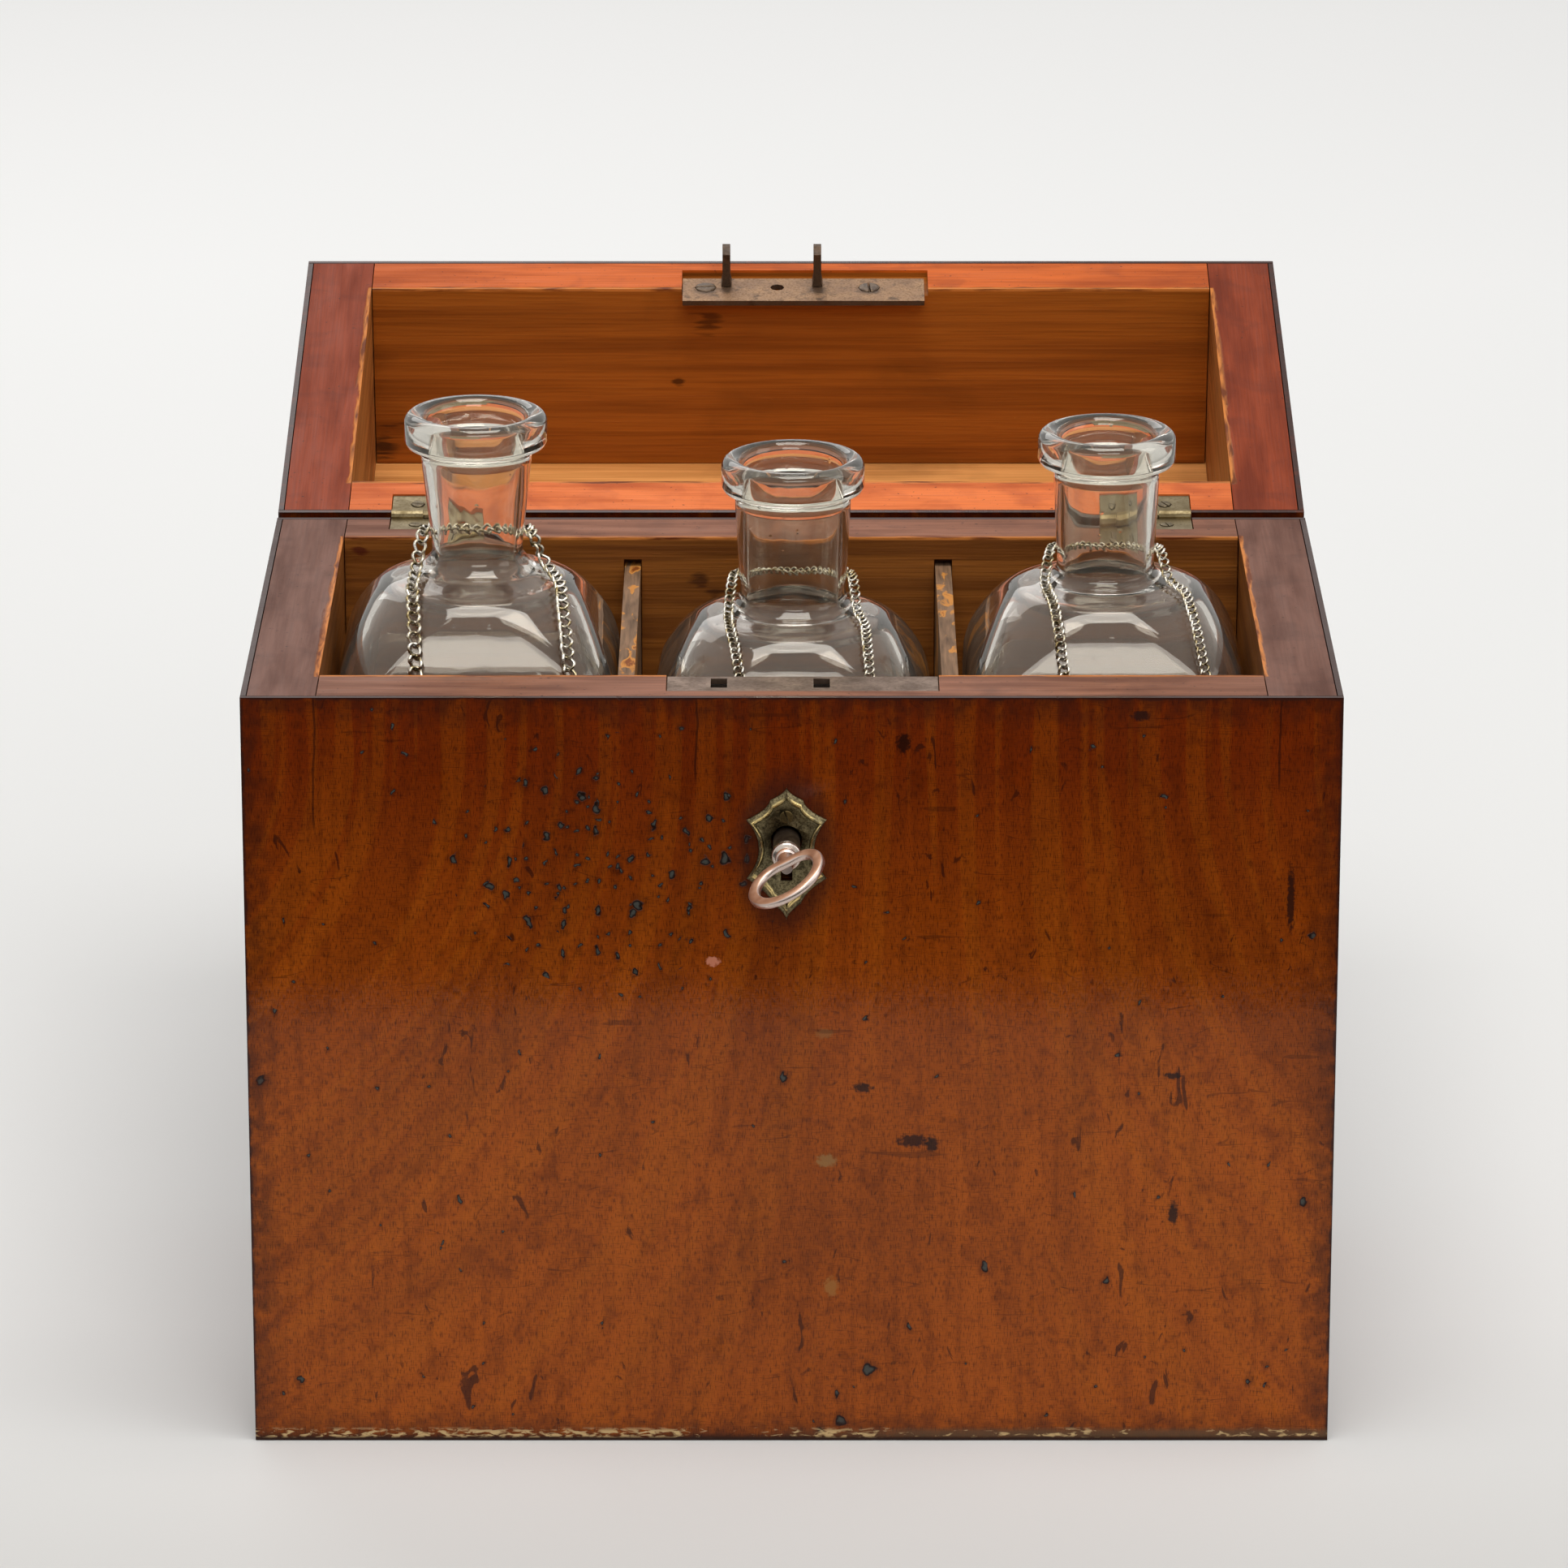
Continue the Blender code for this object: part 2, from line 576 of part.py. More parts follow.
def make_bolt(finish):
    """The bolt: a bar with the talon that the key's bit catches, and an arm and a tooth for each hook."""
    front = HOOK_DEPTH - BOLT_THICKNESS / 2
    rear = HOOK_DEPTH + BOLT_THICKNESS / 2
    talon = KEY_AXIS_X + BOLT_TRAVEL / 2
    half = TALON_WIDTH / 2
    tooth_top = TOOTH_LOW + TOOTH_HEIGHT
    outline = [(BOLT_RIGHT, BOLT_LOW), (BOLT_RIGHT, BOLT_TOP)]
    for x in sorted(HOOK_XS, reverse=True):
        tip = x + HOOK_THICKNESS / 2 + TOOTH_GAP
        inside = tip + TOOTH_LENGTH
        outline += [(inside + ARM_WIDTH, BOLT_TOP), (inside + ARM_WIDTH, tooth_top), (tip, tooth_top)]
        outline += [(tip, TOOTH_LOW), (inside, TOOTH_LOW), (inside, BOLT_TOP)]
    outline += [(BOLT_LEFT, BOLT_TOP), (BOLT_LEFT, BOLT_LOW), (talon - half, BOLT_LOW)]
    outline += [(talon - half, BOLT_LOW + TALON_RISE), (talon + half, BOLT_LOW + TALON_RISE)]
    outline += [(talon + half, BOLT_LOW)]
    bm = bmesh.new()
    add_prism(bm, [(x, front, z) for x, z in outline], (0, BOLT_THICKNESS, 0))
    made = place(bm, "lock_bolt", finish, (talon, HOOK_DEPTH, BOLT_LOW))
    slots = bmesh.new()
    z = BOLT_LOW + BOLT_BAR / 2
    for x in STUMP_XS:
        low = (x - STUMP_PLAY, front - OVERRUN, z - STUMP_PLAY)
        add_block(slots, low, (x + STUMP_PLAY + BOLT_TRAVEL, rear + OVERRUN, z + STUMP_PLAY))
    cut(made, place(slots, "bolt_slots", None))
    return made


def cut_lock_mortise(board, veneer):
    """Opens the front board for the lock from above and inside, and both layers for the key."""
    inside = INNER_FRONT + OVERRUN
    above = BODY_HEIGHT + OVERRUN
    low = (LOCK_LEFT - SEAT, SELVEDGE_FRONT - SEAT, SELVEDGE_LOW - SEAT)
    cut(board, block("selvedge_rebate", low, (LOCK_RIGHT + SEAT, inside, above)))
    low = (LOCK_LEFT - SEAT, BACK_PLATE - SEAT, BACK_PLATE_LOW - SEAT)
    cut(board, block("back_plate_recess", low, (LOCK_RIGHT + SEAT, inside, above)))
    low = (CAP_LEFT - SEAT, CAP_FRONT - SEAT, CAP_LOW - SEAT)
    cut(board, block("cap_mortise", low, (CAP_RIGHT + SEAT, inside, above)))
    cut(board, keyhole("board_keyhole", FRONT + VENEER, CAP_FRONT + OVERRUN))
    cut(veneer, keyhole("veneer_keyhole", FRONT - OVERRUN, FRONT + VENEER + OVERRUN))


def make_lock(body, steel, dark_steel):
    cut_lock_mortise(body["front_board"], body["front_veneer"])
    make_selvedge_plate(dark_steel)
    make_back_plate(steel, steel, body["front_board"])
    make_lock_cap(steel)
    make_drill_pin(steel)
    return make_bolt(steel)


# The key. A reach is a length out from the front face.
KEY_SHAFT_RADIUS = 0.0037
KEY_BORE_DEPTH = 0.0160
KEY_COLLAR_REACH = 0.0118
KEY_COLLAR_RADIUS = 0.0041
KEY_COLLAR = 0.0022
KEY_RING_RADIUS = 0.0031
KEY_RING = 0.0020
KEY_GROOVE_RADIUS = 0.0026
KEY_GROOVE = 0.0006
BOW_REACH = 0.0450
BOW_WIDTH = 0.0240
BOW_LENGTH = 0.0240
BOW_BAND = 0.0034
BOW_THICKNESS = 0.0026
BOW_STEPS = 20
BOW_SECTION_SIDES = 8
BOW_DIP_SHARE = 0.16
BIT_THICKNESS = 0.0024
BIT_LENGTH = 0.0070
BIT_CUT = 0.0016
KEY_END = BACK_PLATE - SEAT - DRILL_FOOT_THICKNESS - SEAT
BIT_REAR = KEY_END - SEAT / 2
BIT_FRONT = BIT_REAR - BIT_LENGTH
KEY_COLLAR_FACE = FRONT - KEY_COLLAR_REACH
KEY_RING_FACE = KEY_COLLAR_FACE - KEY_COLLAR - KEY_GROOVE
KEY_NECK_FACE = KEY_RING_FACE - KEY_RING - KEY_GROOVE
BOW_CENTRE = FRONT - BOW_REACH + BOW_LENGTH / 2


def bow_rings():
    """The bow's band, a flattened round section carried round an oval in the plane of the bit."""
    wide = (BOW_WIDTH - BOW_BAND) / 2
    long = (BOW_LENGTH - BOW_BAND) / 2
    rings = []
    for i in range(BOW_STEPS):
        t = 2 * math.pi * i / BOW_STEPS
        across, along = math.cos(t), math.sin(t)
        dip = 1 - BOW_DIP_SHARE * max(along, 0) ** 6
        ring = []
        for k in range(BOW_SECTION_SIDES):
            s = 2 * math.pi * (k + 0.5) / BOW_SECTION_SIDES
            out = BOW_BAND / 2 * math.cos(s)
            side = BOW_THICKNESS / 2 * math.sin(s)
            y = BOW_CENTRE + (long * dip + out) * along
            ring.append((KEY_AXIS_X + side, y, KEY_AXIS_Z + (wide + out) * across))
        rings.append(ring)
    return rings


def make_key(finish):
    """A pipe key, drawn with its bit upright and then turned as it stands in the photograph."""
    origin = (KEY_AXIS_X, FRONT, KEY_AXIS_Z)
    bm = bmesh.new()
    levels = (
        (KEY_END, KEY_SHAFT_RADIUS),
        (KEY_COLLAR_FACE, KEY_SHAFT_RADIUS),
        (KEY_COLLAR_FACE, KEY_COLLAR_RADIUS),
        (KEY_COLLAR_FACE - KEY_COLLAR, KEY_COLLAR_RADIUS),
        (KEY_COLLAR_FACE - KEY_COLLAR, KEY_GROOVE_RADIUS),
        (KEY_RING_FACE, KEY_GROOVE_RADIUS),
        (KEY_RING_FACE, KEY_RING_RADIUS),
        (KEY_RING_FACE - KEY_RING, KEY_RING_RADIUS),
        (KEY_NECK_FACE, KEY_GROOVE_RADIUS),
        (BOW_CENTRE + BOW_LENGTH / 2 * (1 - BOW_DIP_SHARE) - BOW_BAND / 2, KEY_GROOVE_RADIUS / 2),
    )
    add_turned(bm, levels, HINGE_SIDES, origin)
    made = place(bm, "key", finish, origin)
    bow = bmesh.new()
    skin_rings(bow, bow_rings(), closed=True)
    join(made, place(bow, "key_bow", None))
    join(made, key_bit())
    bore = bmesh.new()
    wide = DRILL_PIN_RADIUS + SEAT
    add_turned(bore, ((KEY_END + OVERRUN, wide), (KEY_END - KEY_BORE_DEPTH, wide)), HINGE_SIDES, origin)
    cut(made, place(bore, "key_bore", None))
    turn_key(made, origin)
    return made


def key_bit():
    """The flag of the key, with a ward cut in each side."""
    foot = KEY_AXIS_Z + KEY_SHAFT_RADIUS / 2
    tip = KEY_AXIS_Z + BIT_REACH
    ward = KEY_AXIS_Z + (KEY_SHAFT_RADIUS + BIT_REACH) / 2
    half = BIT_CUT / 2
    step_front, step_rear = BIT_FRONT + BIT_CUT, BIT_REAR - BIT_CUT
    outline = [(BIT_FRONT, foot), (BIT_FRONT, ward - half), (step_front, ward - half)]
    outline += [(step_front, ward + half), (BIT_FRONT, ward + half), (BIT_FRONT, tip), (BIT_REAR, tip)]
    outline += [(BIT_REAR, ward + half), (step_rear, ward + half), (step_rear, ward - half)]
    outline += [(BIT_REAR, ward - half), (BIT_REAR, foot)]
    bm = bmesh.new()
    side = KEY_AXIS_X - BIT_THICKNESS / 2
    add_prism(bm, [(side, y, z) for y, z in outline], (BIT_THICKNESS, 0, 0))
    return place(bm, "key_bit", None)


def turn_key(key, origin):
    """Turns the key and the tools that shape it about the key's axis."""
    about = Matrix.Translation(origin) @ Matrix.Rotation(math.radians(KEY_REST_DEG), 4, "Y")
    about = about @ Matrix.Translation(-Vector(origin))
    for obj in [key] + [step.object for step in key.modifiers]:
        obj.matrix_world = about @ Matrix.Translation(obj.location)


# The escutcheon: a cast shield with six tips and hollow sides
ESCUTCHEON_WIDTH = 0.0220
ESCUTCHEON_RISE = 0.0156
ESCUTCHEON_DROP = 0.0226
ESCUTCHEON_THICKNESS = 0.0018
ESCUTCHEON_FIELD_SHARE = 0.76
ESCUTCHEON_FIELD_DEPTH = 0.0007
ESCUTCHEON_STEPS = 4
ESCUTCHEON_TIP_BLUNT = 0.0006
SHIELD_WIDTH_SHARES = (0.0, 0.41, 1.0, 1.0, 0.36, 0.0)
SHIELD_HEIGHT_SHARES = (1.0, 0.77, 0.41, -0.47, -0.79, -1.0)
SHIELD_HOLLOW_SHARES = (0.10, 0.10, 0.13, 0.07, 0.07)
ESCUTCHEON_PIN_RISE = 0.0073
ESCUTCHEON_PIN_RADIUS = 0.0019


def hollow_edge(start, end, share):
    """Points from start towards end on an edge that bows inwards by a share of its length."""
    start, end = Vector(start), Vector(end)
    middle = (start + end) / 2
    inward = Vector((-middle.x, 0)).normalized() if middle.x else Vector((0, 0))
    points = []
    for i in range(ESCUTCHEON_STEPS):
        t = i / ESCUTCHEON_STEPS
        bow = 4 * t * (1 - t) * share * (end - start).length
        points.append(start.lerp(end, t) + inward * bow)
    return points


def shield(scale):
    """The escutcheon's outline round the key's axis, in the plane of the face."""
    half = ESCUTCHEON_WIDTH / 2
    corners = []
    for across, up in zip(SHIELD_WIDTH_SHARES, SHIELD_HEIGHT_SHARES):
        height = ESCUTCHEON_RISE if up > 0 else ESCUTCHEON_DROP
        corners.append((max(across * half, ESCUTCHEON_TIP_BLUNT), up * height))
    right = []
    for i, share in enumerate(SHIELD_HOLLOW_SHARES):
        right += hollow_edge(corners[i], corners[i + 1], share)
    right.append(Vector(corners[-1]))
    outline = right + [Vector((-p.x, p.y)) for p in reversed(right)]
    return [(KEY_AXIS_X + scale * p.x, KEY_AXIS_Z + scale * p.y) for p in outline]


def make_escutcheon(veneer, board, brass):
    """The shield on the front face, with a raised rim, the keyhole and the pin that fixes it."""
    seat = FRONT - SEAT
    face = seat - ESCUTCHEON_THICKNESS
    bm = bmesh.new()
    add_prism(bm, [(x, seat, z) for x, z in shield(1)], (0, -ESCUTCHEON_THICKNESS, 0))
    made = place(bm, "escutcheon", brass, (KEY_AXIS_X, seat, KEY_AXIS_Z))
    field = bmesh.new()
    start = face + ESCUTCHEON_FIELD_DEPTH
    inner = [(x, start, z) for x, z in shield(ESCUTCHEON_FIELD_SHARE)]
    add_prism(field, inner, (0, -ESCUTCHEON_FIELD_DEPTH - OVERRUN, 0))
    cut(made, place(field, "escutcheon_field", None))
    cut(made, keyhole("escutcheon_keyhole", face - OVERRUN, seat + OVERRUN))
    at = Vector((KEY_AXIS_X, start, KEY_AXIS_Z + ESCUTCHEON_PIN_RISE))
    thick = ESCUTCHEON_THICKNESS - ESCUTCHEON_FIELD_DEPTH
    make_screw("escutcheon_pin", at, (0, -1, 0), ESCUTCHEON_PIN_RADIUS, thick, 90, brass)
    for target, what in ((made, "seat"), (veneer, "veneer_hole"), (board, "board_hole")):
        tool = screw_seat(f"escutcheon_pin_{what}", at, (0, -1, 0), ESCUTCHEON_PIN_RADIUS, thick)
        cut(target, tool)
    return made


# The hook plate in the lid's front rim. It has slipped inwards in a seat cut a little too large for it.
HOOK_PLATE_LENGTH = 0.0746
HOOK_PLATE_CENTRE_X = 0.0039
HOOK_PLATE_INSET = 0.0119
HOOK_PLATE_WIDTH = 0.0162
HOOK_PLATE_THICKNESS = 0.0016
HOOK_SEAT_INSET = 0.0067
HOOK_SEAT_SPARE = 0.0012
LEFT_HOOK_SCREW_X = -0.0263
RIGHT_HOOK_SCREW_X = 0.0242
HOOK_SCREW_DEPTH_SHARE = 0.4
HOOK_SCREW_HEAD = 0.0032
SPARE_HOLE_X = -0.0042
SPARE_HOLE_RADIUS = 0.0022
HOOK_TENON_SHARE = 0.5
HOOK_CHAMFER = 0.0020
HOOK_SHOULDER = 0.0020
HOOK_SHOULDER_FLARE = 0.0004
HOOK_PLATE_FRONT = FRONT + HOOK_PLATE_INSET


def make_hook(name, x, finish, pivot):
    """An eyed hook: a flat shank with a chamfered tip, and a tenon that is riveted in the plate."""
    shoulder = HOOK_FACE - SEAT
    half, thick = HOOK_WIDTH / 2, HOOK_THICKNESS / 2
    tenon = half * HOOK_TENON_SHARE
    outline = [(-tenon, HOOK_FACE + HOOK_PLATE_THICKNESS), (-tenon, shoulder), (-half, shoulder)]
    outline += [(-half, HOOK_TIP + HOOK_CHAMFER), (-half + HOOK_CHAMFER, HOOK_TIP)]
    outline += [(half - HOOK_CHAMFER, HOOK_TIP), (half, HOOK_TIP + HOOK_CHAMFER), (half, shoulder)]
    outline += [(tenon, shoulder), (tenon, HOOK_FACE + HOOK_PLATE_THICKNESS)]
    bm = bmesh.new()
    add_prism(bm, [(x - thick, HOOK_DEPTH + y, z) for y, z in outline], (HOOK_THICKNESS, 0, 0))
    made = place(bm, name, finish, (x, HOOK_DEPTH, shoulder), pivot)
    flare = bmesh.new()
    wide = thick + HOOK_SHOULDER_FLARE
    top = [(x + a * wide, HOOK_DEPTH + b * half, shoulder) for a, b in SQUARE]
    foot = [(x + a * thick, HOOK_DEPTH + b * half, shoulder - HOOK_SHOULDER) for a, b in SQUARE]
    skin_rings(flare, [top, foot])
    join(made, place(flare, f"{name}_shoulder", None))
    low = (x - thick - OVERRUN, HOOK_DEPTH - EYE_WIDTH / 2, EYE_LOW)
    high = (x + thick + OVERRUN, HOOK_DEPTH + EYE_WIDTH / 2, EYE_LOW + EYE_HEIGHT)
    cut(made, block(f"{name}_eye", low, high, None, pivot))
    return made


SQUARE = ((-1, -1), (1, -1), (1, 1), (-1, 1))


def make_hook_plate(lid, pivot, steel, dark_steel):
    """The iron plate let into the lid's rim, which runs past the wall inside. It lacks its middle screw."""
    left = HOOK_PLATE_CENTRE_X - HOOK_PLATE_LENGTH / 2
    rear = HOOK_PLATE_FRONT + HOOK_PLATE_WIDTH
    top = HOOK_FACE + HOOK_PLATE_THICKNESS
    low, high = (left, HOOK_PLATE_FRONT, HOOK_FACE), (left + HOOK_PLATE_LENGTH, rear, top)
    plate = block("hook_plate", low, high, dark_steel, pivot)
    board = lid["lid_front_board"]
    low = (left - SEAT, FRONT + HOOK_SEAT_INSET, LID_RIM - OVERRUN)
    high = (left + HOOK_PLATE_LENGTH + HOOK_SEAT_SPARE, rear + OVERRUN, top + SEAT)
    cut(board, block("hook_plate_seat", low, high, None, pivot))
    slots = bmesh.new()
    half = HOOK_WIDTH / 2 * HOOK_TENON_SHARE + SEAT
    thick = HOOK_THICKNESS / 2 + SEAT
    for x in HOOK_XS:
        low = (x - thick, HOOK_DEPTH - half, HOOK_FACE - OVERRUN)
        add_block(slots, low, (x + thick, HOOK_DEPTH + half, top + OVERRUN))
    cut(plate, place(slots, "hook_tenon_holes", None))
    middle = HOOK_PLATE_FRONT + HOOK_PLATE_WIDTH * HOOK_SCREW_DEPTH_SHARE
    spare = bmesh.new()
    ends = [(SPARE_HOLE_X, middle, z) for z in (HOOK_FACE - OVERRUN, top + OVERRUN)]
    add_round(spare, ends[0], ends[1], SPARE_HOLE_RADIUS, SCREW_SIDES)
    cut(plate, place(spare, "spare_screw_hole", None))
    for side, x in (("left", LEFT_HOOK_SCREW_X), ("right", RIGHT_HOOK_SCREW_X)):
        name = f"hook_plate_{side}_screw"
        at, out = (x, middle, HOOK_FACE), (0, 0, -1)
        turn = SLOT_TURNS["outer"] if x < 0 else 0
        make_screw(name, at, out, HOOK_SCREW_HEAD, HOOK_PLATE_THICKNESS, turn, dark_steel, pivot)
        for target, what in ((plate, "seat"), (board, "hole")):
            tool = screw_seat(f"{name}_{what}", at, out, HOOK_SCREW_HEAD, HOOK_PLATE_THICKNESS, pivot)
            cut(target, tool)
    for name, x in zip(("left_hook", "right_hook"), HOOK_XS):
        make_hook(name, x, steel, pivot)


# Heights of the three lips above the base, and how far each bottle stands off the middle of its compartment
LEFT_LIP = 0.2745
MIDDLE_LIP = 0.2614
RIGHT_LIP = 0.2692
LEFT_SHIFT = 0.0006
MIDDLE_SHIFT = 0.00135
RIGHT_SHIFT = 0.00035

# The round parts of each bottle: neck at its foot, neck under the lip, lip, and the height of the cone
LEFT_NECK = 0.0128
MIDDLE_NECK = 0.0150
RIGHT_NECK = 0.0137
LEFT_THROAT = 0.0158
MIDDLE_THROAT = 0.0164
RIGHT_THROAT = 0.0150
LEFT_COLLAR = 0.0203
MIDDLE_COLLAR = 0.0204
RIGHT_COLLAR = 0.0196
LEFT_CONE = 0.0090
MIDDLE_CONE = 0.0066
RIGHT_CONE = 0.0058
COLLAR_BAND = 0.0099
NECK_LENGTH = 0.0290
SHOULDER_RING = 0.0252
SHOULDER = 0.0370
FOOT_ROUND = 0.0040
FLOOR_GLASS = 0.0060
NECK_GLASS = 0.0022
LIP_ROUND = 0.0030
INNER_DROP_SHARE = 0.75
RING_POINTS = 20
LIP_LEVELS = 3

# Down the cone: the shares of its width and its height. Down the shoulder from the ring to the wall: the
# shares of its height, of the way out to the wall, and of the way from a circle to the wall's corner.
CONE_SHARES = ((0.12, 0.42), (0.42, 0.74))
SHOULDER_SHARES = (
    (0.06, 0.21, 0.20),
    (0.17, 0.42, 0.45),
    (0.34, 0.65, 0.70),
    (0.51, 0.83, 0.86),
    (0.68, 0.94, 0.95),
    (0.86, 0.99, 1.0),
    (1.0, 1.0, 1.0),
)

BOTTLES = {
    "left": {
        "x": (-INNER_X + LEFT_DIVIDER_X - DIVIDER / 2) / 2 + LEFT_SHIFT,
        "lip": LEFT_LIP,
        "neck": LEFT_NECK,
        "throat": LEFT_THROAT,
        "collar": LEFT_COLLAR,
        "cone": LEFT_CONE,
    },
    "middle": {
        "x": (LEFT_DIVIDER_X + RIGHT_DIVIDER_X) / 2 + MIDDLE_SHIFT,
        "lip": MIDDLE_LIP,
        "neck": MIDDLE_NECK,
        "throat": MIDDLE_THROAT,
        "collar": MIDDLE_COLLAR,
        "cone": MIDDLE_CONE,
    },
    "right": {
        "x": (RIGHT_DIVIDER_X + DIVIDER / 2 + INNER_X) / 2 + RIGHT_SHIFT,
        "lip": RIGHT_LIP,
        "neck": RIGHT_NECK,
        "throat": RIGHT_THROAT,
        "collar": RIGHT_COLLAR,
        "cone": RIGHT_CONE,
    },
}


def rounded_square(half, corner, z, centre_x):
    """A ring at height z: a square with round corners, and a circle where corner equals half."""
    each = RING_POINTS // 4
    flat = half - corner
    ring = []
    for quarter, (sx, sy) in enumerate(((1, 1), (-1, 1), (-1, -1), (1, -1))):
        for i in range(each):
            turn = math.radians(90) * (quarter + (i + 0.5) / each)
            x = centre_x + sx * flat + corner * math.cos(turn)
            ring.append((x, sy * flat + corner * math.sin(turn), z))
    return ring


def neck_foot(spec):
    """The height where the neck meets the cone."""
    return spec["lip"] - COLLAR_BAND - NECK_LENGTH


def shoulder_levels(spec):
    """(half width, corner radius, height) down the cone and the shoulder to the side wall."""
    foot, neck, cone = neck_foot(spec), spec["neck"], spec["cone"]
    levels = []
    for out, down in CONE_SHARES:
        radius = neck + (SHOULDER_RING - neck) * out
        levels.append((radius, radius, foot - cone * down))
    ring = foot - cone
    levels.append((SHOULDER_RING, SHOULDER_RING, ring))
    for down, out, square in SHOULDER_SHARES:
        half = SHOULDER_RING + (BOTTLE_WIDTH / 2 - SHOULDER_RING) * out
        corner = half + (BOTTLE_CORNER - half) * square
        levels.append((half, corner, ring - SHOULDER * down))
    return levels


def outer_levels(spec):
    """The bottle's outside from its foot to its lip."""
    half = BOTTLE_WIDTH / 2
    stand = BOTTOM_THICKNESS + SEAT
    under = spec["lip"] - COLLAR_BAND
    levels = [(half - FOOT_ROUND, BOTTLE_CORNER - FOOT_ROUND / 2, stand)]
    levels.append((half, BOTTLE_CORNER, stand + FOOT_ROUND))
    levels += reversed(shoulder_levels(spec))
    levels.append((spec["neck"], spec["neck"], neck_foot(spec)))
    levels.append((spec["throat"], spec["throat"], under))
    low = spec["collar"] - LIP_ROUND / 2
    levels.append((low, low, under))
    for i in range(LIP_LEVELS + 1):
        turn = math.radians(90) * i / LIP_LEVELS
        radius = spec["collar"] - LIP_ROUND * (1 - math.cos(turn))
        levels.append((radius, radius, spec["lip"] - LIP_ROUND * (1 - math.sin(turn))))
    return levels


def inner_levels(spec):
    """The bottle's inside from its lip down to its floor."""
    mouth = spec["collar"] - LIP_ROUND
    bore = spec["throat"] - NECK_GLASS
    levels = [(mouth - SEAT, mouth - SEAT, spec["lip"])]
    for i in range(1, LIP_LEVELS + 1):
        turn = math.radians(90) * i / LIP_LEVELS
        radius = mouth - (mouth - bore) * math.sin(turn)
        levels.append((radius, radius, spec["lip"] - LIP_ROUND * (1 - math.cos(turn))))
    narrow = spec["neck"] - NECK_GLASS
    levels.append((narrow, narrow, neck_foot(spec) - GLASS / 2))
    for half, corner, z in shoulder_levels(spec)[1::2]:
        inside = half - GLASS / 2 if corner == half else half - GLASS
        levels.append((inside, min(max(corner - GLASS, GLASS), inside), z - GLASS * INNER_DROP_SHARE))
    floor = BOTTOM_THICKNESS + SEAT + FLOOR_GLASS
    half = BOTTLE_WIDTH / 2 - GLASS
    levels.append((half, BOTTLE_CORNER - GLASS, floor + FOOT_ROUND))
    levels.append((half - FOOT_ROUND, BOTTLE_CORNER - GLASS, floor))
    return levels


def make_bottle(side, glass):
    """A mould-blown square bottle with a round neck and a collared lip, open at the mouth."""
    spec = BOTTLES[side]
    levels = outer_levels(spec) + inner_levels(spec)
    bm = bmesh.new()
    skin_rings(bm, [rounded_square(half, corner, z, spec["x"]) for half, corner, z in levels])
    return place(bm, f"{side}_bottle", glass, (spec["x"], 0, BOTTOM_THICKNESS + SEAT))


# Chains: links and wire of each
LEFT_PITCH = 0.0054
MIDDLE_PITCH = 0.0052
RIGHT_PITCH = 0.0054
LEFT_WIRE = 0.0012
MIDDLE_WIRE = 0.0011
RIGHT_WIRE = 0.0012
LEFT_LINK = 0.0038
MIDDLE_LINK = 0.0034
RIGHT_LINK = 0.0036

# Where each chain's two strands lie: how far out beside the neck, over the ring and where they reach the
# wall, as shares of half the bottle's width
CHAINS = {
    "left": {
        "pitch": LEFT_PITCH,
        "wire": LEFT_WIRE,
        "width": LEFT_LINK,
        "strand_shares": {-1: (0.42, 0.435, 0.37), 1: (0.49, 0.58, 0.74)},
    },
    "middle": {
        "pitch": MIDDLE_PITCH,
        "wire": MIDDLE_WIRE,
        "width": MIDDLE_LINK,
        "strand_shares": {-1: (0.45, 0.44, 0.25), 1: (0.45, 0.505, 0.59)},
    },
    "right": {
        "pitch": RIGHT_PITCH,
        "wire": RIGHT_WIRE,
        "width": RIGHT_LINK,
        "strand_shares": {-1: (0.43, 0.39, 0.24), 1: (0.44, 0.545, 0.79)},
    },
}
LINK_LEAN_DEG = 45
BEARING_SHARE = 1.3
CHAIN_CLEAR = 0.0009
CHAIN_ON_NECK = 0.0012
CHAIN_SIDE_RISE = 0.0020
CHAIN_DROP = 0.0160
NECK_STEPS = 6
BEND_STEPS = 5
CURVE_STEPS = 8


def front_of(half, corner, x):
    """How far forward a rounded square reaches at x from its middle."""
    flat = half - corner
    beyond = max(abs(x) - flat, 0)
    return flat + math.sqrt(max(corner**2 - beyond**2, 0))


def strand_stations(spec, chain, sign, off):
    """Points down one strand, off the glass, from the cone over the ring and the shoulder to the front."""
    beside, ring, wall = [share * BOTTLE_WIDTH / 2 for share in chain["strand_shares"][sign]]
    levels = shoulder_levels(spec)[len(CONE_SHARES) - 1 :]
    last = len(levels) - 1
    points = []
    for i, (half, corner, z) in enumerate(levels):
        above, below = levels[max(i - 1, 0)], levels[min(i + 1, last)]
        along = Vector((below[0] - above[0], below[2] - above[2])).normalized()
        grown, z = half - off * along.y, z + off * along.x
        x = beside if i == 0 else ring + (wall - ring) * (i - 1) / (last - 1)
        y = -front_of(grown, min(corner + off, grown), min(x, grown))
        points.append((spec["x"] + sign * min(x, grown), y, z))
    return points


